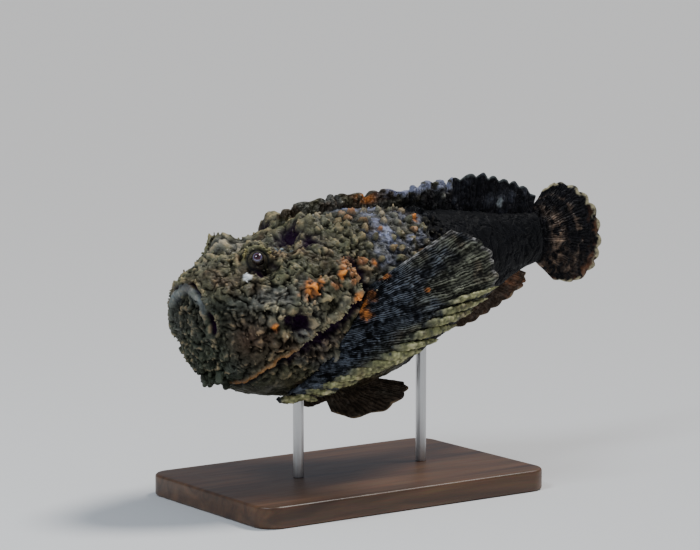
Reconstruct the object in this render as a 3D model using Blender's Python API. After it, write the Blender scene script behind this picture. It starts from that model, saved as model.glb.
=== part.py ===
"""A reef stonefish, life size, swimming with its head low, held on a plain display stand.

The fish is modelled straight, in its own frame: x runs from the mouth to the tail, y to its right,
z up, with z = 0 on the body's axis. Each finished piece is then bent, pitched and lifted into the
pose. Lengths marked SL are shares of the standard length, from the mouth to the root of the tail fin.
"""

import math
import random

import bmesh
import bpy
import numpy as np
from mathutils import Vector, noise

# Driving dimensions, in metres and degrees
SL = 0.245
GAP = 0.0003
AXIS_HEIGHT = 0.118
FISH_X = 0.105
NOSE_DOWN = 6.5
TAIL_TURN = 9.0
TURN_FROM = 0.50
TURN_TO = 0.98
SEED = 7

# The body's sections, in SL: x, top, bottom, half width and the height of the widest place
SECTIONS = (
    (-0.012, 0.000, -0.020, 0.000, -0.010),
    (-0.008, 0.042, -0.062, 0.046, -0.010),
    (0.000, 0.068, -0.092, 0.072, -0.010),
    (0.020, 0.093, -0.125, 0.101, -0.012),
    (0.050, 0.107, -0.152, 0.127, -0.015),
    (0.100, 0.119, -0.184, 0.152, -0.018),
    (0.150, 0.130, -0.203, 0.171, -0.020),
    (0.220, 0.153, -0.219, 0.191, -0.022),
    (0.300, 0.169, -0.229, 0.203, -0.024),
    (0.380, 0.171, -0.230, 0.203, -0.022),
    (0.460, 0.164, -0.220, 0.188, -0.018),
    (0.550, 0.150, -0.198, 0.157, -0.012),
    (0.650, 0.131, -0.162, 0.118, -0.008),
    (0.750, 0.111, -0.124, 0.082, -0.004),
    (0.850, 0.088, -0.092, 0.053, 0.000),
    (0.930, 0.070, -0.070, 0.038, 0.000),
    (1.000, 0.058, -0.060, 0.027, 0.000),
)
SQUARENESS = 2.35
RINGS = 38
RING_SIDES = 38
RING_CROWDING = 1.45

# Swellings and hollows, in SL: x, y, z, radius along the body, radius across it and rise
RELIEF = (
    (0.140, 0.064, 0.130, 0.034, 0.034, 0.036),
    (0.150, 0.000, 0.135, 0.045, 0.030, -0.016),
    (0.146, 0.112, 0.092, 0.022, 0.018, -0.018),
    (0.219, 0.090, 0.140, 0.032, 0.030, -0.020),
    (0.285, 0.070, 0.160, 0.040, 0.030, 0.017),
    (0.070, 0.035, 0.105, 0.030, 0.024, 0.010),
    (0.172, 0.185, -0.030, 0.024, 0.026, -0.016),
    (0.128, 0.160, -0.062, 0.018, 0.018, 0.010),
    (0.250, 0.195, 0.020, 0.050, 0.040, 0.012),
    (0.060, 0.110, -0.085, 0.030, 0.030, 0.010),
)
LUMP_RISE = 0.006
LUMP_PITCH = 0.060

# The head's openings and what surrounds them
EYE_RADIUS = 0.0034
EYE_X = 0.133
EYE_ANGLE = 59.5
EYE_PROUD = 0.45
EYE_SINK = 0.6
EYE_LOOK = (-0.30, 0.45, -0.20)
EYE_SEGMENTS = 14
EYE_RINGS = 8
LID_RADIUS = 0.0009
LID_SPREAD = 1.02
LID_FORWARD = 0.34
MOUTH_HALF_WIDTH = 0.086
MOUTH_TOP = 0.074
MOUTH_CORNER = -0.026
JAW_DEPTH = 0.062
LIP_RADIUS = 0.0022
LIP_APART = 1.15
LIP_GROOVE = 0.0013
MOUTH_POINTS = 17
MOUTH_ROUNDNESS = 0.8
NOSTRIL_X = 0.088
NOSTRIL_ANGLE = 72.0
NOSTRIL_RADIUS = 0.0017
NOSTRIL_RISE = 0.0042
NOSTRIL_LEAN = 0.0008

# The gill opening seen from the side, from the nape to the throat, in SL
GILL_LINE = (
    (0.300, 0.300),
    (0.300, 0.110),
    (0.318, 0.060),
    (0.328, 0.015),
    (0.262, -0.030),
    (0.205, -0.060),
    (0.150, -0.090),
    (0.090, -0.125),
    (0.065, -0.160),
    (0.060, -0.320),
)
COVER_OUTLINE = ((0.200, 0.050), (0.400, 0.050), (0.400, -0.030), (0.150, -0.098), (0.130, -0.075))
COVER_INNER = 0.095
TAIL_CUT = 0.600

# The fins' outlines in SL: x and z for those in the middle, x, y and z for the left one of a pair
DORSAL_FRONT_EDGE = (
    (0.238, 0.188),
    (0.300, 0.207),
    (0.370, 0.209),
    (0.440, 0.205),
    (0.520, 0.195),
    (0.600, 0.186),
    (0.660, 0.193),
    (0.718, 0.188),
)
DORSAL_REAR_EDGE = (
    (0.731, 0.186),
    (0.800, 0.184),
    (0.860, 0.172),
    (0.915, 0.150),
    (0.955, 0.124),
    (0.985, 0.092),
)
ANAL_EDGE = (
    (0.700, -0.170),
    (0.745, -0.174),
    (0.800, -0.162),
    (0.860, -0.147),
    (0.910, -0.134),
    (0.950, -0.105),
)
CAUDAL_EDGE = (
    (1.042, 0.104),
    (1.100, 0.113),
    (1.165, 0.094),
    (1.212, 0.050),
    (1.235, -0.010),
    (1.236, -0.070),
    (1.208, -0.122),
    (1.140, -0.144),
    (1.056, -0.122),
)
PECTORAL_ROOT = (
    (0.352, -0.192, 0.026),
    (0.318, -0.196, -0.020),
    (0.280, -0.190, -0.066),
    (0.240, -0.172, -0.112),
    (0.204, -0.140, -0.156),
    (0.176, -0.092, -0.194),
)
PECTORAL_EDGE = (
    (0.560, -0.226, 0.117),
    (0.616, -0.240, 0.090),
    (0.648, -0.250, 0.042),
    (0.652, -0.252, -0.008),
    (0.616, -0.248, -0.046),
    (0.552, -0.242, -0.082),
    (0.476, -0.232, -0.122),
    (0.412, -0.220, -0.146),
    (0.350, -0.202, -0.164),
    (0.288, -0.170, -0.188),
    (0.222, -0.112, -0.222),
)
PELVIC_ROOT = (
    (0.285, -0.062, -0.212),
    (0.325, -0.058, -0.214),
    (0.365, -0.052, -0.213),
    (0.405, -0.046, -0.210),
)
PELVIC_EDGE = (
    (0.290, -0.085, -0.262),
    (0.350, -0.092, -0.290),
    (0.420, -0.094, -0.290),
    (0.480, -0.088, -0.274),
    (0.512, -0.078, -0.254),
    (0.505, -0.070, -0.240),
)

# Where the middle fins grow from: from and to in SL, and how deep the root is sunk
DORSAL_FRONT_BASE = (0.245, 0.715)
DORSAL_REAR_BASE = (0.722, 0.973)
ANAL_BASE = (0.675, 0.915)
CAUDAL_BASE_X = 0.982
CAUDAL_BASE = (0.046, -0.048)
CAUDAL_WAVE = 0.0016
FRONT_SINK = 0.0035
ROOT_SINK = 0.003
FRONT_LEAN = 0.004
REAR_LEAN = 0.003
PECTORAL_BOW = 0.006

# Warts: radius and rise shrink towards the tail by the shares in WART_TAPER
WART_COUNT = 106
WART_TRIES = 6000
WART_SIDES = 5
WART_RADIUS = (0.0022, 0.0044)
WART_RISE = (0.0020, 0.0044)
WART_TAPER = (0.45, 0.40)
WART_SPACING = 0.0084
WART_FROM = 0.03
WART_REACH = 0.90
WART_CROWDING = 1.6
WART_ANGLES = (-35, 215)
WART_SINK = 0.0016
WART_SHOULDER = (0.72, 0.7)
EYE_CLEARANCE = 0.0072
MOUTH_CLEARANCE = 0.0065
FIN_CLEARANCE = 0.0040
NAPE_X = 0.2

# Flaps of skin: radius, and the range or size of their rise
CHIN_FLAPS = 7
CHIN_FLAP_X = (0.035, 0.015)
CHIN_FLAP_SPREAD = 46
CHIN_FLAP_RADIUS = 0.0026
CHIN_FLAP_RISE = (0.004, 0.006)
CHIN_FLAP_LEAN = 0.001
COVER_FLAPS = 8
COVER_FLAP_INSET = 0.012
COVER_FLAP_RADIUS = 0.0024
COVER_FLAP_RISE = 0.0028
COVER_FLAP_LEAN = (0.0032, 0.0, -0.0012)

# The stand
BASE_SIZE = (0.190, 0.120, 0.012)
BASE_CORNER = 0.012
BASE_BEVEL = 0.0015
ROD_RADIUS = 0.003
ROD_PLACES = (0.262, 0.610)
ROD_SIDES = 16
ROD_SINK = 0.007

# The slot that each fin's root is let into
SLOT_ROWS = 3
SLOT_GAP = 0.0005


def clear_scene():
    for old in list(bpy.data.objects):
        bpy.data.objects.remove(old, do_unlink=True)


def material(name, colour, roughness, metallic=0.0):
    made = bpy.data.materials.new(name)
    made.use_nodes = True
    shader = made.node_tree.nodes["Principled BSDF"]
    shader.inputs["Base Color"].default_value = (*colour, 1.0)
    shader.inputs["Roughness"].default_value = roughness
    shader.inputs["Metallic"].default_value = metallic
    return made


def smooth(stations, values, where):
    """A curve through the stations with no overshoot between them."""
    x = np.asarray(stations, float)
    y = np.asarray(values, float)
    step = np.diff(x)
    slope = np.diff(y) / step
    tangent = np.zeros_like(y)
    same_way = slope[:-1] * slope[1:] > 0
    mean = 2 * slope[:-1] * slope[1:] / np.where(same_way, slope[:-1] + slope[1:], 1.0)
    tangent[1:-1] = np.where(same_way, mean, 0.0)
    tangent[0] = slope[0]
    tangent[-1] = slope[-1]
    t = np.clip(np.asarray(where, float), x[0], x[-1])
    i = np.clip(np.searchsorted(x, t) - 1, 0, len(step) - 1)
    s = (t - x[i]) / step[i]
    low = y[i] * (1 + 2 * s) * (1 - s) ** 2 + step[i] * tangent[i] * s * (1 - s) ** 2
    high = y[i + 1] * s**2 * (3 - 2 * s) + step[i] * tangent[i + 1] * s**2 * (s - 1)
    return low + high


def plain_skin(x, angle):
    """A point of the body without its relief: x in SL, angle in radians from the fish's right side."""
    table = np.array(SECTIONS).T
    top, bottom, half_width, widest = (smooth(table[0], row, x) for row in table[1:])
    c = math.cos(angle)
    s = math.sin(angle)
    y = half_width * math.copysign(abs(c) ** (2 / SQUARENESS), c)
    reach = top - widest if s > 0 else widest - bottom
    z = widest + reach * math.copysign(abs(s) ** (2 / SQUARENESS), s)
    return Vector((x * SL, y * SL, z * SL))


def relief(point):
    """How far the skin rises here over the plain section, in metres."""
    x, y, z = (v / SL for v in point)
    rise = 0.0
    for fx, fy, fz, along, across, height in RELIEF:
        away = ((x - fx) / along) ** 2 + ((abs(y) - fy) ** 2 + (z - fz) ** 2) / across**2
        rise += height * math.exp(-away)
    fade = min(1.0, max(0.0, (1.0 - x) * 4))
    rise += LUMP_RISE * fade * noise.noise(point / (LUMP_PITCH * SL))
    return rise * SL


def skin(x, angle):
    """(point, outward normal) of the skin."""
    point = plain_skin(x, angle)
    side = plain_skin(x, angle + 0.02) - plain_skin(x, angle - 0.02)
    along = plain_skin(min(x + 0.01, 1.0), angle) - plain_skin(max(x - 0.01, SECTIONS[0][0]), angle)
    normal = side.cross(along).normalized()
    return point + normal * relief(point), normal


def new_object(name, vertices, faces):
    mesh = bpy.data.meshes.new(name)
    mesh.from_pydata([tuple(v) for v in vertices], [], faces)
    mesh.update()
    made = bpy.data.objects.new(name, mesh)
    bpy.context.scene.collection.objects.link(made)
    face_out(made)
    return made


def face_out(obj):
    shape = bmesh.new()
    shape.from_mesh(obj.data)
    bmesh.ops.recalc_face_normals(shape, faces=shape.faces)
    if shape.calc_volume(signed=True) < 0:
        bmesh.ops.reverse_faces(shape, faces=shape.faces)
    shape.to_mesh(obj.data)
    shape.free()


def rings_object(name, rings, start=None, end=None):
    """A closed skin over rings of points, with a point or a flat fan closing each end."""
    sides = len(rings[0])
    vertices = [p for ring in rings for p in ring]
    faces = []
    for i in range(len(rings) - 1):
        for j in range(sides):
            a = i * sides + j
            b = i * sides + (j + 1) % sides
            faces += [(a, b, b + sides), (a, b + sides, a + sides)]
    for ring, tip in ((0, start), (len(rings) - 1, end)):
        middle = tip or sum((Vector(p) for p in rings[ring]), Vector()) / sides
        vertices.append(middle)
        for j in range(sides):
            faces.append((ring * sides + j, ring * sides + (j + 1) % sides, len(vertices) - 1))
    return new_object(name, vertices, faces)


def tube(name, path, radii, sides=6, closed=False):
    """A round bar along a path of points; a closed one is a ring."""
    path = [Vector(p) for p in path]
    count = len(path)
    rings = []
    side = None
    for i, centre in enumerate(path):
        before = path[i - 1] if i or closed else path[i]
        after = path[(i + 1) % count] if i + 1 < count or closed else path[i]
        forward = (after - before).normalized()
        if side is None:
            side = forward.orthogonal().normalized()
        side = (side - forward * side.dot(forward)).normalized()
        other = forward.cross(side)
        turns = [2 * math.pi * k / sides for k in range(sides)]
        rings.append([centre + (side * math.cos(t) + other * math.sin(t)) * radii[i] for t in turns])
    if not closed:
        return rings_object(name, rings)
    vertices = [p for ring in rings for p in ring]
    faces = []
    for i in range(count):
        for k in range(sides):
            a = i * sides + k
            b = i * sides + (k + 1) % sides
            c = (i + 1) % count * sides + (k + 1) % sides
            d = (i + 1) % count * sides + k
            faces += [(a, b, c), (a, c, d)]
    return new_object(name, vertices, faces)


def wart(point, normal, radius, rise, sides, turn, lean=Vector()):
    """A blunt cone with its root sunk in the skin."""
    side = normal.orthogonal().normalized()
    other = normal.cross(side)
    rings = []
    for share, height in ((1.0, -WART_SINK), (WART_SHOULDER[0], rise * WART_SHOULDER[1])):
        ring = []
        for k in range(sides):
            t = turn + 2 * math.pi * k / sides
            out = (side * math.cos(t) + other * math.sin(t)) * radius * share
            ring.append(point + out + normal * height + lean * max(height, 0.0) / rise)
        rings.append(ring)
    return rings_object("wart", rings, end=point + normal * rise + lean)


def prism(name, outline, low, high, axis):
    """An outline of pairs swept from low to high along an axis, 0 for x and 1 for y."""

    def place(pair, t):
        return (t, pair[0], pair[1]) if axis == 0 else (pair[0], t, pair[1])

    count = len(outline)
    vertices = [place(p, low) for p in outline] + [place(p, high) for p in outline]
    faces = [tuple(range(count)), tuple(range(2 * count - 1, count - 1, -1))]
    for i in range(count):
        j = (i + 1) % count
        faces.append((i, i + count, j + count, j))
    return new_object(name, vertices, faces)


def grown(outline, by):
    """The outline moved outwards by a distance at each corner."""
    count = len(outline)
    area = sum(
        outline[i][0] * outline[(i + 1) % count][1] - outline[(i + 1) % count][0] * outline[i][1]
        for i in range(count)
    )
    turn = 1.0 if area > 0 else -1.0
    moved = []
    for i in range(count):
        here = Vector(outline[i])
        into = (here - Vector(outline[i - 1])).normalized()
        away = (Vector(outline[(i + 1) % count]) - here).normalized()
        first = Vector((into.y, -into.x)) * turn
        second = Vector((away.y, -away.x)) * turn
        moved.append(tuple(here + (first + second) * by / (1 + first.dot(second))))
    return moved


def blade(name, sheet, rays, rows, thickness, notch=0.0, grow=0.0):
    """A fin: a closed plate round a curved sheet, split alike on both faces, with a ridge on each ray.

    sheet(u, v) is its middle, u across the rays and v from root to edge. thickness(u, v, crest) is
    read at u, v with crest 1 on a ray and 0 between two. grow gives the clearance that it is let in with.
    """
    columns = 2 * rays - 1
    grid = np.zeros((columns, rows + 1, 3))
    thick = np.zeros((columns, rows + 1))
    for i in range(columns):
        crest = 1.0 - i % 2
        for j in range(rows + 1):
            v = j / rows
            grid[i, j] = sheet(i / (columns - 1), v * (1 - notch * (1 - crest) * v))
            thick[i, j] = thickness(i / (columns - 1), v, crest)
    across = np.gradient(grid, axis=0)
    down = np.gradient(grid, axis=1)
    normal = np.cross(across, down)
    normal /= np.linalg.norm(normal, axis=2, keepdims=True)
    if grow:
        grid[:, 0] -= unit(grid[:, 1] - grid[:, 0]) * grow
        grid[:, -1] += unit(grid[:, -1] - grid[:, -2]) * grow
        grid[0] -= unit(grid[1] - grid[0]) * grow
        grid[-1] += unit(grid[-1] - grid[-2]) * grow
    half = (thick / 2 + grow)[..., None] * normal
    front = (grid + half).reshape(-1, 3)
    back = (grid - half).reshape(-1, 3)
    count = len(front)
    stride = rows + 1
    faces = []
    for i in range(columns - 1):
        for j in range(rows):
            a = i * stride + j
            b = a + stride
            if (i + j) % 2:
                halves = ((a, b, b + 1), (a, b + 1, a + 1))
            else:
                halves = ((a, b, a + 1), (b, b + 1, a + 1))
            for one in halves:
                faces.append(one)
                faces.append(tuple(k + count for k in reversed(one)))
    rim = [j for j in range(stride)]
    rim += [i * stride + rows for i in range(1, columns)]
    rim += [(columns - 1) * stride + j for j in range(rows - 1, -1, -1)]
    rim += [i * stride for i in range(columns - 2, 0, -1)]
    for a, b in zip(rim, rim[1:] + rim[:1]):
        faces += [(a, b, b + count), (a, b + count, a + count)]
    return new_object(name, np.vstack([front, back]), faces)


def unit(vectors):
    return vectors / np.linalg.norm(vectors, axis=-1, keepdims=True)


def route(points, u):
    """A smooth curve through points, read at u from 0 to 1."""
    table = np.array(points, float)
    stations = np.linspace(0, 1, len(table))
    return np.array([smooth(stations, table[:, k], u) for k in range(table.shape[1])])


def boolean(obj, others, operation, solver="EXACT"):
    """Joins the others to obj or cuts them from it, and removes them."""
    group = bpy.data.collections.new("operands")
    for other in others:
        group.objects.link(other)
    step = obj.modifiers.new("join", "BOOLEAN")
    step.operation = operation
    step.operand_type = "COLLECTION"
    step.collection = group
    step.solver = solver
    apply_modifiers(obj)
    for other in others:
        bpy.data.objects.remove(other, do_unlink=True)
    bpy.data.collections.remove(group)
    return obj


def apply_modifiers(obj):
    bpy.context.view_layer.update()
    graph = bpy.context.evaluated_depsgraph_get()
    made = bpy.data.meshes.new_from_object(obj.evaluated_get(graph))
    obj.modifiers.clear()
    obj.data = made


def intersect(obj, other, name):
    """The part of obj inside other, as a new object."""
    kept = bpy.data.objects.new(name, obj.data.copy())
    bpy.context.scene.collection.objects.link(kept)
    step = kept.modifiers.new("keep", "BOOLEAN")
    step.operation = "INTERSECT"
    step.object = other
    step.solver = "EXACT"
    apply_modifiers(kept)
    bpy.data.objects.remove(other, do_unlink=True)
    return kept


def keep_largest(obj):
    """Drops all but the largest closed surface."""
    shape = bmesh.new()
    shape.from_mesh(obj.data)
    bmesh.ops.triangulate(shape, faces=shape.faces)
    shape.faces.ensure_lookup_table()
    seen = set()
    shells = []
    for face in shape.faces:
        if face in seen:
            continue
        shell = [face]
        seen.add(face)
        for one in shell:
            for edge in one.edges:
                for near in edge.link_faces:
                    if near not in seen:
                        seen.add(near)
                        shell.append(near)
        shells.append(shell)
    shells.sort(key=lambda faces: sum(f.calc_area() for f in faces))
    for shell in shells[:-1]:
        bmesh.ops.delete(shape, geom=shell, context="FACES")
    loose = [v for v in shape.verts if not v.link_faces]
    bmesh.ops.delete(shape, geom=loose, context="VERTS")
    shape.to_mesh(obj.data)
    shape.free()


def body_core():
    """The body from the mouth to the root of the tail fin, as one closed skin."""
    first = SECTIONS[0][0]
    rings = []
    for i in range(1, RINGS + 1):
        x = first + (1.0 - first) * (i / RINGS) ** RING_CROWDING
        turns = [2 * math.pi * j / RING_SIDES for j in range(RING_SIDES)]
        rings.append([skin(x, t)[0] for t in turns])
    nose = Vector((first * SL, 0, SECTIONS[0][4] * SL))
    return rings_object("body", rings, start=nose)


def eye_seat(side):
    """(centre, outward direction) of an eye; side is 1 for the fish's right and -1 for its left."""
    angle = math.radians(EYE_ANGLE if side > 0 else 180 - EYE_ANGLE)
    point, normal = skin(EYE_X, angle)
    forward, outward, up = EYE_LOOK
    look = (normal + Vector((forward, side * outward, up))).normalized()
    return point + normal * (EYE_PROUD - EYE_SINK) * EYE_RADIUS, look


def ball(name, centre, radius, look):
    shape = bmesh.new()
    bmesh.ops.create_uvsphere(shape, u_segments=EYE_SEGMENTS, v_segments=EYE_RINGS, radius=radius)
    mesh = bpy.data.meshes.new(name)
    shape.to_mesh(mesh)
    shape.free()
    mesh.transform(look.to_track_quat("Z", "Y").to_matrix().to_4x4())
    for vertex in mesh.vertices:
        vertex.co += centre
    made = bpy.data.objects.new(name, mesh)
    bpy.context.scene.collection.objects.link(made)
    return made


def lid(side):
    """The ring of skin round an eye, thicker above as a brow."""
    centre, look = eye_seat(side)
    across = look.cross(Vector((0, 0, 1))).normalized()
    over = across.cross(look).normalized()
    if over.z < 0:
        over = -over
    path = []
    radii = []
    for k in range(EYE_SEGMENTS):
        t = 2 * math.pi * k / EYE_SEGMENTS
        out = across * math.cos(t) + over * math.sin(t)
        path.append(centre + (out * LID_SPREAD + look * LID_FORWARD) * EYE_RADIUS)
        radii.append(LID_RADIUS * (1.25 + 0.55 * math.sin(t)))
    return tube("lid", path, radii, 6, closed=True)


def mouth_line(outwards):
    """The arch of the mouth on the front of the head, moved outwards by a distance in metres."""
    path = []
    for t in np.linspace(0.0, math.pi, MOUTH_POINTS):
        y = (MOUTH_HALF_WIDTH * SL + outwards) * math.cos(t)
        rise = (MOUTH_TOP - MOUTH_CORNER) * SL + outwards
        z = MOUTH_CORNER * SL + rise * abs(math.sin(t)) ** MOUTH_ROUNDNESS
        path.append((y, z))
    return path


def on_front(y, z):
    """The point of the front of the head with this y and z."""
    low = SECTIONS[0][0]
    high = 0.25
    table = np.array(SECTIONS).T
    for _ in range(40):
        x = (low + high) / 2
        top, bottom, half_width, widest = (smooth(table[0], row, x) * SL for row in table[1:])
        reach = max(top - widest if z > widest else widest - bottom, 1e-6)
        inside = abs(y / max(half_width, 1e-6)) ** SQUARENESS
        inside += abs((z - widest) / reach) ** SQUARENESS
        if inside > 1:
            low = x
        else:
            high = x
    point = Vector((high * SL, y, z))
    return point - Vector((1, 0, 0)) * relief(point)


def lip(name, outwards, radius):
    """A lip along the mouth, thinner at its corners and a little lumpy."""
    path = [on_front(y, z) + Vector((radius * 0.5, 0, 0)) for y, z in mouth_line(outwards)]
    radii = []
    for k in range(MOUTH_POINTS):
        taper = 0.55 + 0.45 * math.sin(math.pi * k / (MOUTH_POINTS - 1))
        lump = 1.0 + 0.13 * math.sin(5.1 * k)
        radii.append(radius * taper * lump)
    return tube(name, path, radii, 6)


def mouth_groove():
    path = [on_front(y, z) for y, z in mouth_line(0.0)]
    return tube("mouth groove", path, [LIP_GROOVE] * len(path), 6)


def jaw_outline():
    """The lower jaw seen from the front: the arch of the mouth and the chin under it."""
    half = MOUTH_HALF_WIDTH * SL
    chin = []
    for across, height in ((-1.02, -0.09), (-0.8, -0.30), (0.8, -0.30), (1.02, -0.09)):
        chin.append((across * half, height * SL))
    return mouth_line(0.0) + chin


def nostril(side):
    angle = math.radians(NOSTRIL_ANGLE if side > 0 else 180 - NOSTRIL_ANGLE)
    point, normal = skin(NOSTRIL_X, angle)
    lean = Vector((-NOSTRIL_LEAN, side * NOSTRIL_LEAN, 0))
    return wart(point, normal, NOSTRIL_RADIUS, NOSTRIL_RISE, 6, 0.0, lean)


def warts():
    """Blunt warts scattered over the head, back and flanks, clear of the fins, eyes and mouth."""
    draw = random.Random(SEED)
    placed = []
    made = []
    tries = 0
    eyes = [eye_seat(side)[0] for side in (-1, 1)]
    while len(made) < WART_COUNT and tries < WART_TRIES:
        tries += 1
        x = WART_FROM + WART_REACH * draw.random() ** WART_CROWDING
        angle = math.radians(draw.uniform(*WART_ANGLES))
        radius = draw.uniform(*WART_RADIUS) * (1.0 - WART_TAPER[0] * x)
        rise = draw.uniform(*WART_RISE) * (1.0 - WART_TAPER[1] * x)
        turn = draw.uniform(0, math.pi)
        point, normal = skin(x, angle)
        if any((point - p).length < WART_SPACING * (1.1 - 0.5 * x) for p in placed):
            continue
        if any((point - e).length < EYE_CLEARANCE for e in eyes):
            continue
        if near_mouth(point):
            continue
        if abs(point.y) < FIN_CLEARANCE + radius and (x > NAPE_X or point.z < 0):
            continue
        placed.append(point)
        made.append(wart(point, normal, radius, rise, WART_SIDES, turn))
    return made


def near_mouth(point):
    if point.x > 0.10 * SL:
        return False
    line = [on_front(y, z) for y, z in mouth_line(0.0)[::2]]
    return any((point - p).length < MOUTH_CLEARANCE for p in line)


def flaps():
    """The tags of skin under the chin and along the rear edge of each gill cover."""
    draw = random.Random(SEED + 1)
    made = []
    for k in range(CHIN_FLAPS):
        angle = math.radians(-90 + CHIN_FLAP_SPREAD * (2 * k / (CHIN_FLAPS - 1) - 1))
        point, normal = skin(CHIN_FLAP_X[0] + CHIN_FLAP_X[1] * (k % 2), angle)
        lean = Vector((-1, draw.uniform(-1, 1), 0)) * CHIN_FLAP_LEAN
        rise = draw.uniform(*CHIN_FLAP_RISE)
        made.append(wart(point, normal, CHIN_FLAP_RADIUS, rise, WART_SIDES, draw.random(), lean))
    for side in (-1, 1):
        for k in range(COVER_FLAPS):
            x, z = route(GILL_LINE[2:8], k / (COVER_FLAPS - 1))
            angle = side_angle(x - COVER_FLAP_INSET, z, side)
            point, normal = skin(x - COVER_FLAP_INSET, angle)
            turn = draw.random()
            lean = Vector(COVER_FLAP_LEAN)
            made.append(wart(point, normal, COVER_FLAP_RADIUS, COVER_FLAP_RISE, WART_SIDES, turn, lean))
    return made


def side_angle(x, z, side):
    """The angle at which the section at x passes the height z, on one side."""
    low, high = -math.pi / 2, math.pi / 2
    for _ in range(30):
        middle = (low + high) / 2
        if plain_skin(x, middle).z < z * SL:
            low = middle
        else:
            high = middle
    return low if side > 0 else math.pi - low


def middle_fin(edge, base, angle, sink, lean=0.0):
    """The sheet of a fin in the middle plane, its root sunk in the back or, at -90 degrees, in the belly."""

    def sheet(u, v):
        x, z = route(edge, u)
        base_x = base[0] + (base[1] - base[0]) * u
        base_z = skin(base_x, math.radians(angle))[0].z - math.copysign(sink, angle)
        root = Vector((base_x * SL, 0, base_z))
        return root.lerp(Vector((x * SL + lean, 0, z * SL)), v)

    return sheet


def caudal_sheet(u, v):
    x, z = route(CAUDAL_EDGE, u)
    high, low = CAUDAL_BASE
    base = Vector((CAUDAL_BASE_X * SL, 0, (high + (low - high) * u) * SL))
    point = base.lerp(Vector((x * SL, 0, z * SL)), v)
    point.y += CAUDAL_WAVE * math.sin(3 * math.pi * u) * v * v
    return point


def pectoral_sheet(u, v):
    """The left pectoral fin, swept back off the flank."""
    base = Vector(route(PECTORAL_ROOT, u)) * SL
    tip = Vector(route(PECTORAL_EDGE, u)) * SL
    point = base.lerp(tip, v)
    point.y -= PECTORAL_BOW * math.sin(math.pi * min(v, 1.0)) * math.sin(math.pi * u)
    return point


def pelvic_sheet(u, v):
    """The left pelvic fin, hanging back from the belly."""
    base = Vector(route(PELVIC_ROOT, u)) * SL
    tip = Vector(route(PELVIC_EDGE, u)) * SL
    return base.lerp(tip, v)


def slot(sheet, rays, thickness):
    """The room that a fin's root is let into, with a clearance all round it."""

    def widest(u, v, crest):
        return max(thickness(u, 0.0, 0.0), thickness(u, v, 1.0))

    return blade("slot", sheet, max(rays // 2, 6), SLOT_ROWS, widest, 0.0, SLOT_GAP)


def mirrored(sheet):
    def other(u, v):
        point = sheet(u, v)
        return Vector((point.x, -point.y, point.z))

    return other


def fleshy(root, edge, ray, last_ray=None, swell_from=0.25):
    """A fin's thickness: thick flesh at the root, thin at the edge, a ridge on each ray.

    The ridges grow from ray on the first to last_ray on the last.
    """
    last = ray if last_ray is None else last_ray

    def thickness(u, v, crest):
        height = ray + (last - ray) * min(1.0, max(0.0, (u - 0.35) / 0.25))
        ridge = height * crest * min(1.0, max(0.0, (v - swell_from) / 0.15))
        return root + (edge - root) * v + ridge * (1.15 - 0.5 * v)

    return thickness


def fins():
    """Each fin's sheet, rays, rows, thickness and how far its edge dips between two rays."""
    front = middle_fin(DORSAL_FRONT_EDGE, DORSAL_FRONT_BASE, 90, FRONT_SINK, FRONT_LEAN)
    rear = middle_fin(DORSAL_REAR_EDGE, DORSAL_REAR_BASE, 90, ROOT_SINK, REAR_LEAN)
    below = middle_fin(ANAL_EDGE, ANAL_BASE, -90, ROOT_SINK)
    plain = fleshy(0.0036, 0.0010, 0.0010)
    breast = fleshy(0.0042, 0.0010, 0.0020, 0.0040)
    belly = fleshy(0.0036, 0.0012, 0.0010)
    return {
        "dorsal_fin_spiny": (front, 13, 5, fleshy(0.0052, 0.0022, 0.0032), 0.24),
        "dorsal_fin_soft": (rear, 8, 5, plain, 0.10),
        "anal_fin": (below, 9, 5, plain, 0.14),
        "caudal_fin": (caudal_sheet, 13, 6, fleshy(0.0042, 0.0008, 0.0010), 0.06),
        "pectoral_fin_left": (pectoral_sheet, 18, 6, breast, 0.06),
        "pectoral_fin_right": (mirrored(pectoral_sheet), 18, 6, breast, 0.06),
        "pelvic_fin_left": (pelvic_sheet, 6, 5, belly, 0.06),
        "pelvic_fin_right": (mirrored(pelvic_sheet), 6, 5, belly, 0.06),
    }


def rod_axis(share):
    """(x, lowest point, top) of a rod in the world, with its top sunk in the belly."""
    x = share * SL
    angle = math.radians(NOSE_DOWN)
    belly = skin(share, -math.pi / 2)[0].z
    pivot = Vector((FISH_X, 0, 0))
    low = pitched(Vector((x, 0, belly)) - pivot, angle) + Vector((0, 0, AXIS_HEIGHT))
    return low.x, BASE_SIZE[2] + GAP, low.z + ROD_SINK


def pitched(point, angle):
    """A point turned nose down about the y axis."""
    x = point.x * math.cos(angle) - point.z * math.sin(angle)
    z = point.x * math.sin(angle) + point.z * math.cos(angle)
    return Vector((x, point.y, z))


def pose(obj):
    """Bends the tail aside, turns the fish nose down and lifts it over the stand."""
    count = 400
    reach = np.linspace(-0.2 * SL, 1.4 * SL, count)
    share = np.clip((reach / SL - TURN_FROM) / (TURN_TO - TURN_FROM), 0, 1)
    turn = math.radians(TAIL_TURN) * share * share * (3 - 2 * share)
    step = reach[1] - reach[0]
    spine_x = reach[0] + np.concatenate([[0], np.cumsum(np.cos(turn[:-1]) * step)])
    spine_y = np.concatenate([[0], np.cumsum(np.sin(turn[:-1]) * step)])
    angle = math.radians(NOSE_DOWN)
    for vertex in obj.data.vertices:
        x, y, z = vertex.co
        t = np.interp(x, reach, turn)
        bent_x = np.interp(x, reach, spine_x) - y * math.sin(t)
        bent_y = np.interp(x, reach, spine_y) + y * math.cos(t)
        low = pitched(Vector((bent_x - FISH_X, bent_y, z)), angle)
        vertex.co = low + Vector((0, 0, AXIS_HEIGHT))


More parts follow.
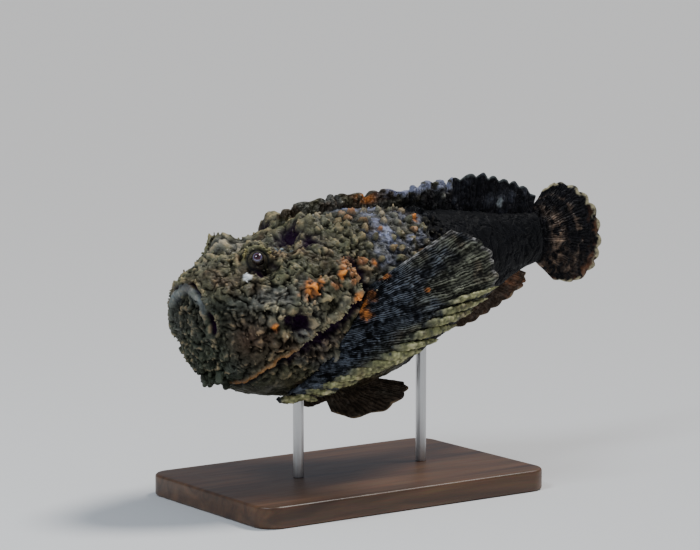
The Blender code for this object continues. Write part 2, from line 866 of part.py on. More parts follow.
def rod_cutter(share):
    """The bore that a rod stands in, in the straight fish's own frame."""
    x, low, top = rod_axis(share)
    angle = -math.radians(NOSE_DOWN)
    ends = []
    for height in (low, top + GAP):
        placed = pitched(Vector((x, 0, height - AXIS_HEIGHT)), angle)
        ends.append(placed + Vector((FISH_X, 0, 0)))
    return tube("bore", ends, [ROD_RADIUS + GAP] * 2, ROD_SIDES)


def stand():
    length, width, height = BASE_SIZE
    shape = bmesh.new()
    bmesh.ops.create_cube(shape, size=1.0)
    for vertex in shape.verts:
        vertex.co = Vector((vertex.co.x * length, vertex.co.y * width, (vertex.co.z + 0.5) * height))
    upright = [e for e in shape.edges if abs(e.verts[0].co.z - e.verts[1].co.z) > height / 2]
    bmesh.ops.bevel(shape, geom=upright, offset=BASE_CORNER, segments=3, affect="EDGES", profile=0.5)
    upper = [e for e in shape.edges if min(v.co.z for v in e.verts) > height - GAP]
    bmesh.ops.bevel(shape, geom=upper, offset=BASE_BEVEL, segments=1, affect="EDGES")
    mesh = bpy.data.meshes.new("stand_base")
    shape.to_mesh(mesh)
    shape.free()
    base = bpy.data.objects.new("stand_base", mesh)
    bpy.context.scene.collection.objects.link(base)
    base.data.materials.append(material("walnut", (0.10, 0.045, 0.022), 0.4))
    steel = material("steel", (0.55, 0.55, 0.56), 0.3, 1.0)
    for name, share in zip(("stand_rod_front", "stand_rod_rear"), ROD_PLACES):
        x, low, top = rod_axis(share)
        rod = tube(name, [(x, 0, low), (x, 0, top)], [ROD_RADIUS] * 2, ROD_SIDES)
        rod.data.materials.append(steel)


def head_outline():
    """The outline, seen from the side, of all that lies in front of the gill openings."""
    gill = [(x * SL, z * SL) for x, z in GILL_LINE]
    far = 0.4 * SL
    front = -0.2 * SL
    ends = [(front, -far), (front, far), (gill[0][0], far)]
    return ends + gill[1:-1] + [(gill[-1][0], -far)]


def tail_outline():
    """The outline, seen from the side, of all that lies behind the tail's cut."""
    near = TAIL_CUT * SL
    far = 1.5 * SL
    half = 0.5 * SL
    return [(near, -half), (far, -half), (far, half), (near, half)]


def split_off(obj, outline, span, axis, name):
    """Takes what lies inside the swept outline out of obj, with a gap between, as a new object."""
    low, high = span
    inner = prism("keep", grown(outline, -GAP / 2), low, high, axis)
    taken = intersect(obj, inner, name)
    reach = (low - GAP, high + GAP)
    boolean(obj, [prism("cut", grown(outline, GAP / 2), *reach, axis)], "DIFFERENCE")
    return taken


def finish(obj, surface):
    keep_largest(obj)
    pose(obj)
    obj.data.materials.clear()
    obj.data.materials.append(surface)
    obj.data.shade_smooth()
    obj.data.set_sharp_from_angle(angle=math.radians(40))


def main():
    clear_scene()
    hide = material("warty skin", (0.085, 0.080, 0.055), 0.8)
    dark = material("dark fin", (0.030, 0.028, 0.030), 0.7)
    eye_surface = material("eye", (0.10, 0.03, 0.04), 0.15)

    fin_plans = fins()

    body = body_core()
    added = warts() + flaps() + [lid(-1), lid(1), nostril(-1), nostril(1)]
    added.append(lip("upper lip", LIP_RADIUS * LIP_APART, LIP_RADIUS))
    added.append(lip("lower lip", -LIP_RADIUS * LIP_APART, LIP_RADIUS))
    boolean(body, added, "UNION", "MANIFOLD")

    cutters = [mouth_groove()] + [rod_cutter(share) for share in ROD_PLACES]
    for side in (-1, 1):
        centre, look = eye_seat(side)
        cutters.append(ball("socket", centre, EYE_RADIUS + GAP, look))
    for sheet, rays, _, thickness, _ in fin_plans.values():
        cutters.append(slot(sheet, rays, thickness))
    boolean(body, cutters, "DIFFERENCE", "MANIFOLD")

    far = 0.5 * SL
    head = split_off(body, head_outline(), (-far, far), 1, "head")
    tail = split_off(body, tail_outline(), (-far, far), 1, "tail")
    body.name = "torso"
    jaw_span = (-0.2 * SL, JAW_DEPTH * SL)
    pieces = [head, tail, body, split_off(head, jaw_outline(), jaw_span, 0, "lower_jaw")]
    cover = [(x * SL, z * SL) for x, z in COVER_OUTLINE]
    pieces.append(split_off(head, cover, (-far, -COVER_INNER * SL), 1, "gill_cover_left"))
    pieces.append(split_off(head, cover, (COVER_INNER * SL, far), 1, "gill_cover_right"))
    for piece in pieces:
        finish(piece, hide)

    for name, (sheet, rays, rows, thickness, notch) in fin_plans.items():
        finish(blade(name, sheet, rays, rows, thickness, notch), dark)
    for name, side in (("eye_left", -1), ("eye_right", 1)):
        centre, look = eye_seat(side)
        finish(ball(name, centre, EYE_RADIUS, look), eye_surface)
    stand()


main()
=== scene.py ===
"""The looks of a life-size reef stonefish on its display stand: warty skin, fins, eyes and stand.

The fish is shaped straight, in its own frame (x from mouth to tail, y to its right, z up, z = 0 on
its axis), with the same named sizes as the solids, and then bent, pitched and lifted into the pose.
"""

import math

import bmesh
import bpy
import numpy as np
from mathutils import Matrix, Vector
from mathutils.kdtree import KDTree


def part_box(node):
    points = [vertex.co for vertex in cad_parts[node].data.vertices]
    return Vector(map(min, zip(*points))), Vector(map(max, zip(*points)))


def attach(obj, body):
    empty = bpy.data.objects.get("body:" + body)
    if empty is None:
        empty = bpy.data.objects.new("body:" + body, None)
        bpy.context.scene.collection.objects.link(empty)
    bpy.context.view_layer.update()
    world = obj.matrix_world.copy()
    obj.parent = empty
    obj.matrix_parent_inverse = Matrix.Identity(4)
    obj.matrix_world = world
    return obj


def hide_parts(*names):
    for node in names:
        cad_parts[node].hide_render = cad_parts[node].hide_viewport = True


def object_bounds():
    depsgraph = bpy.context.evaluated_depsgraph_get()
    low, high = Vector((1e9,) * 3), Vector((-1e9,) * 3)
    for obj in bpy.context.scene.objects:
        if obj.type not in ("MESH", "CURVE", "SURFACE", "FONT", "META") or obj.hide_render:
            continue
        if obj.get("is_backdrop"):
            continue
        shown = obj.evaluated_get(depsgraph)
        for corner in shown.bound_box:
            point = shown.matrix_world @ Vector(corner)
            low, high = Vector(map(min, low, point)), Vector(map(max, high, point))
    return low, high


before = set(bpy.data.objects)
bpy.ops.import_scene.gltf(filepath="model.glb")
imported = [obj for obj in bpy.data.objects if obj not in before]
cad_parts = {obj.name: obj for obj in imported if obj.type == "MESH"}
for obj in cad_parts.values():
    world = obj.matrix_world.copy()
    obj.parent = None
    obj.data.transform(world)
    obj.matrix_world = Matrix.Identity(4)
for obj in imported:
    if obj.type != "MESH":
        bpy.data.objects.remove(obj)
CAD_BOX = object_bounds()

# Driving dimensions, in metres and degrees
SL = 0.245
AXIS_HEIGHT = 0.118
FISH_X = 0.105
NOSE_DOWN = 6.5
TAIL_TURN = 9.0
TURN_FROM = 0.50
TURN_TO = 0.98
MM = 0.001

# The body's sections, in SL: x, top, bottom, half width and the height of the widest place
SECTIONS = (
    (-0.012, 0.000, -0.020, 0.000, -0.010),
    (-0.008, 0.042, -0.062, 0.046, -0.010),
    (0.000, 0.068, -0.092, 0.072, -0.010),
    (0.020, 0.093, -0.125, 0.101, -0.012),
    (0.050, 0.107, -0.152, 0.127, -0.015),
    (0.100, 0.119, -0.184, 0.152, -0.018),
    (0.150, 0.130, -0.203, 0.171, -0.020),
    (0.220, 0.153, -0.219, 0.191, -0.022),
    (0.300, 0.169, -0.229, 0.203, -0.024),
    (0.380, 0.171, -0.230, 0.203, -0.022),
    (0.460, 0.164, -0.220, 0.188, -0.018),
    (0.550, 0.150, -0.198, 0.157, -0.012),
    (0.650, 0.131, -0.162, 0.118, -0.008),
    (0.750, 0.111, -0.124, 0.082, -0.004),
    (0.850, 0.088, -0.092, 0.053, 0.000),
    (0.930, 0.070, -0.070, 0.038, 0.000),
    (1.000, 0.058, -0.060, 0.027, 0.000),
)
SQUARENESS = 2.35
NOSE_X = SECTIONS[0][0]

# Swellings and hollows, in SL: x, y, z, radius along the body, radius across it and rise
RELIEF = (
    (0.140, 0.064, 0.130, 0.034, 0.034, 0.036),
    (0.150, 0.000, 0.135, 0.045, 0.030, -0.016),
    (0.146, 0.112, 0.092, 0.022, 0.018, -0.018),
    (0.219, 0.090, 0.140, 0.032, 0.030, -0.020),
    (0.285, 0.070, 0.160, 0.040, 0.030, 0.017),
    (0.070, 0.035, 0.105, 0.030, 0.024, 0.010),
    (0.172, 0.185, -0.030, 0.024, 0.026, -0.016),
    (0.128, 0.160, -0.062, 0.018, 0.018, 0.010),
    (0.250, 0.195, 0.020, 0.050, 0.040, 0.012),
    (0.060, 0.110, -0.085, 0.030, 0.030, 0.010),
)

EYE_RADIUS = 0.0034
EYE_X = 0.133
EYE_ANGLE = 59.5
EYE_PROUD = 0.45
MOUTH_HALF_WIDTH = 0.086
MOUTH_TOP = 0.074
MOUTH_CORNER = -0.026

# The gill opening seen from the side, in SL
GILL_LINE = (
    (0.300, 0.110),
    (0.318, 0.060),
    (0.328, 0.015),
    (0.262, -0.030),
    (0.205, -0.060),
    (0.150, -0.090),
    (0.090, -0.125),
    (0.065, -0.160),
)

# The fins' outlines in SL: x and z for those in the middle, x, y and z for the left one of a pair
DORSAL_FRONT_EDGE = (
    (0.238, 0.188),
    (0.300, 0.207),
    (0.370, 0.209),
    (0.440, 0.205),
    (0.520, 0.195),
    (0.600, 0.189),
    (0.660, 0.198),
    (0.732, 0.199),
)
DORSAL_REAR_EDGE = (
    (0.731, 0.186),
    (0.800, 0.184),
    (0.860, 0.172),
    (0.915, 0.150),
    (0.960, 0.130),
    (1.004, 0.096),
)
ANAL_EDGE = (
    (0.700, -0.166),
    (0.745, -0.168),
    (0.800, -0.157),
    (0.860, -0.142),
    (0.915, -0.126),
    (0.956, -0.106),
    (0.960, -0.082),
)
CAUDAL_EDGE = (
    (1.042, 0.104),
    (1.100, 0.113),
    (1.165, 0.094),
    (1.212, 0.050),
    (1.235, -0.010),
    (1.236, -0.070),
    (1.208, -0.122),
    (1.140, -0.144),
    (1.056, -0.122),
)
PECTORAL_ROOT = (
    (0.352, -0.192, 0.026),
    (0.318, -0.196, -0.020),
    (0.280, -0.190, -0.066),
    (0.240, -0.172, -0.112),
    (0.204, -0.140, -0.156),
    (0.176, -0.092, -0.194),
)
PECTORAL_EDGE = (
    (0.560, -0.226, 0.117),
    (0.616, -0.240, 0.090),
    (0.648, -0.250, 0.042),
    (0.652, -0.252, -0.008),
    (0.616, -0.248, -0.046),
    (0.552, -0.242, -0.082),
    (0.476, -0.232, -0.122),
    (0.412, -0.220, -0.146),
    (0.350, -0.202, -0.164),
    (0.288, -0.170, -0.188),
    (0.222, -0.112, -0.222),
)
PELVIC_ROOT = (
    (0.285, -0.062, -0.212),
    (0.325, -0.058, -0.214),
    (0.365, -0.052, -0.213),
    (0.405, -0.046, -0.210),
)
PELVIC_EDGE = (
    (0.290, -0.085, -0.262),
    (0.350, -0.092, -0.290),
    (0.420, -0.094, -0.290),
    (0.480, -0.088, -0.274),
    (0.512, -0.078, -0.254),
    (0.505, -0.070, -0.240),
)

# The radius of the base's upright corners and of its long edges
BASE_CORNER = 0.012
BASE_EDGE = 0.0015

# The strand under the throat, in SL, and the first of the breast fin's rays with a fleshy tip
THROAT = (
    (0.150, 0.082, -0.203),
    (0.172, 0.095, -0.206),
    (0.196, 0.108, -0.206),
    (0.222, 0.120, -0.209),
)
FIRST_STRAND = 6

# How fine the meshes are
STRAND_GRID = (44, 26)
EYE_GRID = (80, 120)
SKIN_ROWS = 540
SKIN_COLUMNS = 580
SNOUT_CAP = 0.0002

# Colours, as linear red, green and blue
OLIVE = (0.090, 0.082, 0.044)
STONE_GREY = (0.120, 0.116, 0.096)
UMBER = (0.046, 0.028, 0.016)
NEAR_BLACK = (0.006, 0.006, 0.008)
PURPLE_BLACK = (0.014, 0.003, 0.017)
LAVENDER = (0.30, 0.33, 0.52)
ORANGE = (0.56, 0.175, 0.020)
RUST = (0.20, 0.070, 0.020)
CREAM = (0.46, 0.41, 0.25)
YELLOW_GREEN = (0.30, 0.30, 0.13)
BONE_WHITE = (0.55, 0.57, 0.58)
PALE_BLUE = (0.22, 0.27, 0.30)
SLATE = (0.026, 0.031, 0.041)
TAN = (0.22, 0.145, 0.070)
MOSS = (0.055, 0.060, 0.030)
JAW_GREEN = (0.020, 0.027, 0.019)
CHEEK_BROWN = (0.052, 0.021, 0.012)
STUD_OLIVE = (0.052, 0.050, 0.028)
FLAP_EDGE = (0.14, 0.13, 0.07)
BAND_BROWN = (0.27, 0.12, 0.035)
LIP_GREY = (0.22, 0.26, 0.29)
LID_OLIVE = (0.16, 0.15, 0.055)
REAR_BLACK = (0.0030, 0.0034, 0.0050)
REAR_BLUE = (0.018, 0.023, 0.038)
FIN_OLIVE = (0.120, 0.126, 0.084)
FIN_BROWN = (0.110, 0.060, 0.030)
FIN_BLUE = (0.10, 0.12, 0.15)
FIN_EDGE = (0.36, 0.34, 0.33)
STAR_GREY = (0.15, 0.17, 0.18)
BAR_BROWN = (0.27, 0.17, 0.105)
SOFT_EDGE = (0.12, 0.14, 0.14)
SOFT_MIDDLE = (0.030, 0.033, 0.045)
UNDER_MIDDLE = (0.055, 0.045, 0.030)
UNDER_BROWN = (0.030, 0.020, 0.012)
PUPIL = (0.020, 0.004, 0.010)
PUPIL_RIM = (0.060, 0.012, 0.024)
EYE_RING = (0.13, 0.15, 0.30)
EYE_DARK = (0.008, 0.005, 0.007)
EYE_BROWN = (0.030, 0.020, 0.012)
WOOD_COLOURS = ((0.060, 0.026, 0.012), (0.190, 0.092, 0.042))

# Where the two colours of the wood's grain stand on its ramp
WOOD_STOPS = (0.32, 0.68)

# Patches of colour on the skin, in SL: x, y, z, radius and colour; y is taken from either side
PATCHES = (
    (0.202, 0.180, 0.043, 0.018, ORANGE),
    (0.218, 0.184, 0.049, 0.013, ORANGE),
    (0.200, 0.078, 0.127, 0.013, PALE_BLUE),
    (0.216, 0.098, 0.124, 0.010, PALE_BLUE),
    (0.315, 0.205, 0.000, 0.014, ORANGE),
    (0.303, 0.175, 0.084, 0.020, RUST),
    (0.310, 0.197, 0.050, 0.018, RUST),
    (0.285, 0.190, 0.060, 0.010, ORANGE),
    (0.263, 0.199, 0.044, 0.014, RUST),
    (0.375, 0.180, 0.070, 0.010, ORANGE),
    (0.555, 0.092, 0.126, 0.007, ORANGE),
    (0.180, 0.187, 0.010, 0.007, RUST),
    (0.120, 0.160, -0.030, 0.008, ORANGE),
    (0.094, 0.108, 0.087, 0.012, BONE_WHITE),
    (0.086, 0.104, 0.100, 0.007, BONE_WHITE),
)

# Finer folds, pits and bulbs of the head, in SL: x, y, z and radius, and the rise in mm
FOLDS = (
    (0.230, 0.064, 0.148, 0.024, -4.2),
    (0.260, 0.112, 0.137, 0.018, -3.6),
    (0.200, 0.050, 0.140, 0.014, -2.0),
    (0.276, 0.060, 0.168, 0.020, 4.2),
    (0.196, 0.105, 0.128, 0.013, 1.8),
    (0.120, 0.116, 0.088, 0.012, -2.6),
    (0.152, 0.120, 0.104, 0.010, -2.2),
    (0.178, 0.170, -0.027, 0.022, -3.6),
    (0.150, 0.165, -0.018, 0.012, -1.8),
    (0.218, 0.186, -0.060, 0.016, -1.8),
    (0.137, 0.168, -0.047, 0.011, 3.0),
    (0.115, 0.160, -0.068, 0.011, 2.4),
    (0.158, 0.168, -0.078, 0.010, 2.2),
    (0.094, 0.108, 0.087, 0.010, 1.6),
    (0.170, 0.140, 0.080, 0.016, 1.6),
    (0.236, 0.180, 0.070, 0.016, -1.6),
    (0.060, 0.073, 0.099, 0.007, -1.8),
    (0.055, 0.000, 0.104, 0.014, -1.4),
)
# Hollows of the head painted dark as shadow, in SL: x, y, z and radius
SHADOW_PITS = (
    (0.123, 0.112, 0.093, 0.014),
    (0.236, 0.062, 0.151, 0.027),
    (0.258, 0.113, 0.138, 0.020),
    (0.152, 0.120, 0.104, 0.011),
    (0.178, 0.170, -0.027, 0.024),
    (0.152, 0.165, -0.018, 0.012),
    (0.218, 0.186, -0.066, 0.018),
)
PALE_WARTS = (
    (0.073, 0.151, 0.005, 0.009),
    (0.085, 0.154, -0.004, 0.007),
    (0.110, 0.153, 0.024, 0.008),
    (0.125, 0.158, 0.015, 0.007),
    (0.060, 0.146, 0.012, 0.006),
    (0.137, 0.168, -0.047, 0.008),
    (0.098, 0.150, 0.030, 0.006),
)


def smooth(stations, values, where):
    """A curve through the stations with no overshoot between them."""
    x = np.asarray(stations, float)
    y = np.asarray(values, float)
    step = np.diff(x)
    slope = np.diff(y) / step
    tangent = np.zeros_like(y)
    same_way = slope[:-1] * slope[1:] > 0
    mean = 2 * slope[:-1] * slope[1:] / np.where(same_way, slope[:-1] + slope[1:], 1.0)
    tangent[1:-1] = np.where(same_way, mean, 0.0)
    tangent[0] = slope[0]
    tangent[-1] = slope[-1]
    t = np.clip(np.asarray(where, float), x[0], x[-1])
    i = np.clip(np.searchsorted(x, t) - 1, 0, len(step) - 1)
    s = (t - x[i]) / step[i]
    low = y[i] * (1 + 2 * s) * (1 - s) ** 2 + step[i] * tangent[i] * s * (1 - s) ** 2
    high = y[i + 1] * s**2 * (3 - 2 * s) + step[i] * tangent[i + 1] * s**2 * (s - 1)
    return low + high


def ramp(low, high, value):
    """0 below low, 1 above high and a smooth rise between."""
    t = np.clip((value - low) / (high - low), 0, 1)
    return t * t * (3 - 2 * t)


def unit(vectors):
    return vectors / np.maximum(np.linalg.norm(vectors, axis=-1, keepdims=True), 1e-12)


def scramble(cells, seed):
    """A repeatable number from 0 to 1 for each whole-number cell."""
    c = cells.astype(np.int64).astype(np.uint32)
    h = c[..., 0] * np.uint32(73856093)
    h ^= c[..., 1] * np.uint32(19349663)
    h ^= c[..., 2] * np.uint32(83492791)
    h ^= np.uint32((seed * 2654435761) & 0xFFFFFFFF)
    h ^= h >> np.uint32(16)
    h *= np.uint32(0x7FEB352D)
    h ^= h >> np.uint32(15)
    h *= np.uint32(0x846CA68B)
    h ^= h >> np.uint32(16)
    return h / np.float64(2**32)


def grain(points, pitch, seed):
    """Smooth noise from -1 to 1 with features about one pitch across; points and pitch in metres."""
    q = points / pitch
    cell = np.floor(q)
    f = q - cell
    f = f * f * f * (f * (f * 6 - 15) + 10)
    total = np.zeros(points.shape[:-1])
    for corner in np.ndindex(2, 2, 2):
        share = np.prod(np.where(corner, f, 1 - f), axis=-1)
        total += share * scramble(cell + np.array(corner), seed)
    return total * 2 - 1


def stray(points, pitch, seed, reach):
    """Smooth random shifts, up to about reach in mm, that keep a pattern from looking regular."""
    return np.stack([grain(points, pitch, seed + k) for k in range(3)], -1) * reach * MM


def layers(points, pitch, seed, count=4):
    """Noise summed over finer and finer pitches, from about -1 to 1."""
    total = np.zeros(points.shape[:-1])
    size = 1.0
    for k in range(count):
        total += size * grain(points, pitch / 2**k, seed + k)
        size *= 0.52
    return total / 1.6


def knobs(points, pitch, seed, blunt=0.5, fill=1.0, size=(0.42, 0.38)):
    """(height, number) of the tallest of a field of round warts: height from 0 to 1."""
    q = points / pitch
    home = np.floor(q)
    height = np.zeros(points.shape[:-1])
    number = np.zeros(points.shape[:-1])
    for step in np.ndindex(3, 3, 3):
        cell = home + np.array(step) - 1
        middle = cell + 0.15 + 0.7 * np.stack([scramble(cell, seed + k) for k in range(3)], -1)
        draw = scramble(cell, seed + 3)
        radius = size[0] + size[1] * scramble(cell, seed + 4)
        away = np.linalg.norm(q - middle, axis=-1) / radius
        dome = np.clip(1 - away**2, 0, 1)
        mesa = ramp(0.0, 0.42, 1 - away)
        bump = np.where(draw < blunt, mesa, dome) * (0.55 + 0.45 * draw) * (draw < fill)
        taller = bump > height
        height = np.where(taller, bump, height)
        number = np.where(taller, draw, number)
    return height, number


def section_of(x):
    table = np.array(SECTIONS).T
    return [smooth(table[0], row, x) for row in table[1:]]


def plain_skin(x, angle):
    """Points of the body without relief: x in SL, angle in radians from the fish's right side."""
    top, bottom, half_width, widest = section_of(x)
    c = np.cos(angle)
    s = np.sin(angle)
    y = half_width * np.sign(c) * np.abs(c) ** (2 / SQUARENESS)
    reach = np.where(s > 0, top - widest, widest - bottom)
    z = widest + reach * np.sign(s) * np.abs(s) ** (2 / SQUARENESS)
    return np.stack(np.broadcast_arrays(x, y, z), -1) * SL


def relief(points):
    """How far the skin rises over the plain section, in metres."""
    x, y, z = np.moveaxis(points / SL, -1, 0)
    rise = np.zeros(x.shape)
    for fx, fy, fz, along, across, height in RELIEF:
        away = ((x - fx) / along) ** 2 + ((np.abs(y) - fy) ** 2 + (z - fz) ** 2) / across**2
        rise += height * np.exp(-away)
    return rise * SL


def skin(x, angle):
    """(points, outward normals) of the skin with its relief."""
    x = np.asarray(x, float)
    points = plain_skin(x, angle)
    side = plain_skin(x, angle + 0.02) - plain_skin(x, angle - 0.02)
    along = plain_skin(np.minimum(x + 0.01, 1.0), angle) - plain_skin(np.maximum(x - 0.01, NOSE_X), angle)
    normal = unit(np.cross(side, along))
    return points + normal * relief(points)[..., None], normal


def eye_seat(side):
    """(centre, outward direction) of an eye; side is 1 for the fish's right and -1 for its left."""
    angle = math.radians(EYE_ANGLE if side > 0 else 180 - EYE_ANGLE)
    point, normal = skin(EYE_X, angle)
    look = unit(normal + np.array((-0.30, side * 0.45, -0.20)))
    return point + normal * (EYE_PROUD - 0.6) * EYE_RADIUS, look


def pose(points):
    """Bends the tail aside, turns the fish nose down and lifts it over the stand."""
    reach = np.linspace(-0.2 * SL, 1.4 * SL, 400)
    share = np.clip((reach / SL - TURN_FROM) / (TURN_TO - TURN_FROM), 0, 1)
    turn = math.radians(TAIL_TURN) * share * share * (3 - 2 * share)
    step = reach[1] - reach[0]
    spine_x = reach[0] + np.concatenate([[0], np.cumsum(np.cos(turn[:-1]) * step)])
    spine_y = np.concatenate([[0], np.cumsum(np.sin(turn[:-1]) * step)])
    x, y, z = np.moveaxis(points, -1, 0)
    t = np.interp(x, reach, turn)
    bent_x = np.interp(x, reach, spine_x) - y * np.sin(t) - FISH_X
    bent_y = np.interp(x, reach, spine_y) + y * np.cos(t)
    a = math.radians(NOSE_DOWN)
    level_x = bent_x * math.cos(a) - z * math.sin(a)
    level_z = bent_x * math.sin(a) + z * math.cos(a) + AXIS_HEIGHT
    return np.stack((level_x, bent_y, level_z), -1)


def route(points, u):
    """A smooth curve through points, read at u from 0 to 1."""
    table = np.array(points, float)
    stations = np.linspace(0, 1, len(table))
    return np.stack([smooth(stations, table[:, k], u) for k in range(table.shape[1])], -1)


def blend(under, over, share):
    """One colour or field of colours laid over another."""
    share = np.asarray(share)[..., None]
    return np.asarray(under) * (1 - share) + np.asarray(over) * share


def layered(tint, *coats):
    """A tint under coats of (colour, share), each laid over the last."""
    for colour, share in coats:
        tint = blend(tint, colour, share)
    return tint


def tube_faces(rings, sides):
    """The triangles of a closed tube; its first and last ring close on two more vertices after them."""
    i, j = np.meshgrid(np.arange(rings - 1), np.arange(sides), indexing="ij")
    a = (i * sides + j).ravel()
    b = (i * sides + (j + 1) % sides).ravel()
    one = np.arange(sides)
    two = (one + 1) % sides
    last = (rings - 1) * sides
    ends = np.full(sides, rings * sides)
    return np.vstack(
        [
            np.stack([a, b, b + sides], 1),
            np.stack([a, b + sides, a + sides], 1),
            np.stack([two, one, ends], 1),
            np.stack([one + last, two + last, ends + 1], 1),
        ]
    )


def mesh_piece(name, vertices, faces, colour=None, unwrap=None):
    """A smooth mesh object with a colour per vertex and its own unwrap."""
    vertices = np.ascontiguousarray(vertices, np.float32)
    faces = np.ascontiguousarray(faces, np.int32)
    mesh = bpy.data.meshes.new(name)
    mesh.vertices.add(len(vertices))
    mesh.vertices.foreach_set("co", vertices.ravel())
    corners = faces.shape[1]
    mesh.loops.add(faces.size)
    mesh.loops.foreach_set("vertex_index", faces.ravel())
    mesh.polygons.add(len(faces))
    mesh.polygons.foreach_set("loop_start", np.arange(0, faces.size, corners, dtype=np.int32))
    mesh.update(calc_edges=True)
    mesh.shade_smooth()
    if colour is not None:
        layer = mesh.color_attributes.new("tint", "FLOAT_COLOR", "POINT")
        rgba = np.ones((len(vertices), 4), np.float32)
        rgba[:, :3] = np.clip(colour, 0, 1)
        layer.data.foreach_set("color", rgba.ravel())
    if unwrap is not None:
        layer = mesh.uv_layers.new(name="OFBake")
        layer.data.foreach_set("uv", np.asarray(unwrap, np.float32)[faces.ravel()].ravel())
    return put(name, mesh)


def put(name, data):
    """A new object in the scene."""
    made = bpy.data.objects.new(name, data)
    bpy.context.scene.collection.objects.link(made)
    return made


def nearest_on_route(points, path):
    """(distance, share along) from each point to a path of points."""
    best = np.full(points.shape[:-1], np.inf)
    along = np.zeros(points.shape[:-1])
    for k in range(len(path) - 1):
        a, b = path[k], path[k + 1]
        leg = b - a
        t = np.clip(((points - a) @ leg) / (leg @ leg), 0, 1)
        away = np.linalg.norm(points - (a + t[..., None] * leg), axis=-1)
        closer = away < best
        best = np.where(closer, away, best)
        along = np.where(closer, (k + t) / (len(path) - 1), along)
    return best, along


def on_front(y, z):
    """The x, in metres, at which the front of the head has this y and z, in metres."""
    low, high = NOSE_X, 0.25
    for _ in range(40):
        x = (low + high) / 2
        top, bottom, half_width, widest = section_of(x)
        reach = max((top - widest if z > widest * SL else widest - bottom) * SL, 1e-6)
        inside = abs(y / max(half_width * SL, 1e-6)) ** SQUARENESS
        inside += abs((z - widest * SL) / reach) ** SQUARENESS
        if inside > 1:
            low = x
        else:
            high = x
    return high * SL


def mouth_path(outwards=0.0, count=33):
    """The arch of the mouth on the front of the head, as points."""
    path = []
    for k in range(count):
        t = math.pi * k / (count - 1)
        y = (MOUTH_HALF_WIDTH * SL + outwards) * math.cos(t)
        rise = (MOUTH_TOP - MOUTH_CORNER) * SL + outwards
        z = MOUTH_CORNER * SL + rise * max(math.sin(t), 0.0) ** 0.8
        point = np.array((on_front(y, z), y, z))
        path.append(point - np.array((relief(point), 0, 0)))
    return np.array(path)


def arc_rows(count):
    """Stations from the nose to the tail's root, evenly spaced along the skin."""
    x = NOSE_X + (1.0 - NOSE_X) * np.linspace(0, 1, 4000) ** 2.5
    length = np.zeros(len(x))
    for angle in (math.pi / 2, math.pi, -math.pi / 2):
        path = plain_skin(x, angle)
        length[1:] += np.cumsum(np.linalg.norm(np.diff(path, axis=0), axis=1))
    return np.interp(np.linspace(0, length[-1], count + 1)[1:], length, x)


def gill_step(points):
    """(signed distance behind the gill cover's edge, how much the edge counts here)."""
    line = np.array(GILL_LINE) * SL
    flat = points[..., [0, 2]]
    best = np.full(flat.shape[:-1], np.inf)
    signed = np.zeros(flat.shape[:-1])
    for a, b in zip(line[:-1], line[1:]):
        leg = b - a
        t = np.clip(((flat - a) @ leg) / (leg @ leg), 0, 1)
        off = flat - (a + t[..., None] * leg)
        away = np.linalg.norm(off, axis=-1)
        cross = leg[0] * off[..., 1] - leg[1] * off[..., 0]
        closer = away < best
        best = np.where(closer, away, best)
        signed = np.where(closer, np.sign(cross) * away, signed)
    _, y, z = np.moveaxis(points / SL, -1, 0)
    share = ramp(0.06, 0.11, np.abs(y)) * ramp(-0.19, -0.15, z) * (1 - ramp(0.07, 0.11, z))
    return signed, share


def skin_piece():
    """The whole fish's skin but its fins, as one closed mesh, and what later pieces need of it."""
    share = 1.0
    rows = int(SKIN_ROWS * share)
    columns = int(SKIN_COLUMNS * share)
    around = np.linspace(0, 2 * math.pi, columns, endpoint=False)
    x, angle = np.meshgrid(arc_rows(rows), around, indexing="ij")
    base, normal = skin(x, angle)
    height, shade = skin_detail(base, normal)
    points = base + normal * height[..., None]
    colour = skin_colour(base, shade)
    snout = points[0].mean(axis=0) - np.array((SNOUT_CAP, 0, 0))
    vertices = np.vstack([points.reshape(-1, 3), snout, points[-1].mean(axis=0)])
    tints = np.vstack([colour.reshape(-1, 3), colour[0].mean(axis=0), colour[-1].mean(axis=0)])
    across = np.meshgrid(np.linspace(0.01, 0.99, rows), np.linspace(0.01, 0.99, columns), indexing="ij")
    unwrap = np.vstack([np.stack(across, -1).reshape(-1, 2), [[0.005, 0.5], [0.995, 0.5]]])
    piece = mesh_piece("warty_skin", pose(vertices), tube_faces(rows, columns)[:, ::-1], tints, unwrap)
    return piece, points, grid_normals(points), colour


def grid_normals(points):
    """Outward normals of a grid of points that closes on itself across its rows."""
    side = np.roll(points, -1, axis=1) - np.roll(points, 1, axis=1)
    along = np.gradient(points, axis=0)
    return unit(np.cross(side, along))


def averaged(field, reach):
    """A field on the skin's grid, each value averaged with its neighbours."""
    wide = sum(np.roll(field, k, axis=1) for k in range(-reach, reach + 1)) / (2 * reach + 1)
    padded = np.pad(wide, ((reach, reach), (0, 0)), mode="edge")
    return sum(padded[k : k + len(field)] for k in range(2 * reach + 1)) / (2 * reach + 1)


def crests(points, pitch, seed, count=3):
    """Sharp-topped ridges summed over finer pitches, from 0 to 1."""
    total = np.zeros(points.shape[:-1])
    size = 1.0
    for k in range(count):
        total += size * (1 - np.abs(grain(points, pitch / 2**k, seed + k)) * 1.6) ** 2
        size *= 0.5
    return total / 1.75


def spots(x, y, z, places):
    """How near each point lies to the nearest of the places, from 0 to 1."""
    found = np.zeros(x.shape)
    for px, py, pz, radius in places:
        away = np.sqrt((x - px) ** 2 + (np.abs(y) - py) ** 2 + (z - pz) ** 2) / radius
        found = np.maximum(found, np.exp(-(away**2)))
    return found


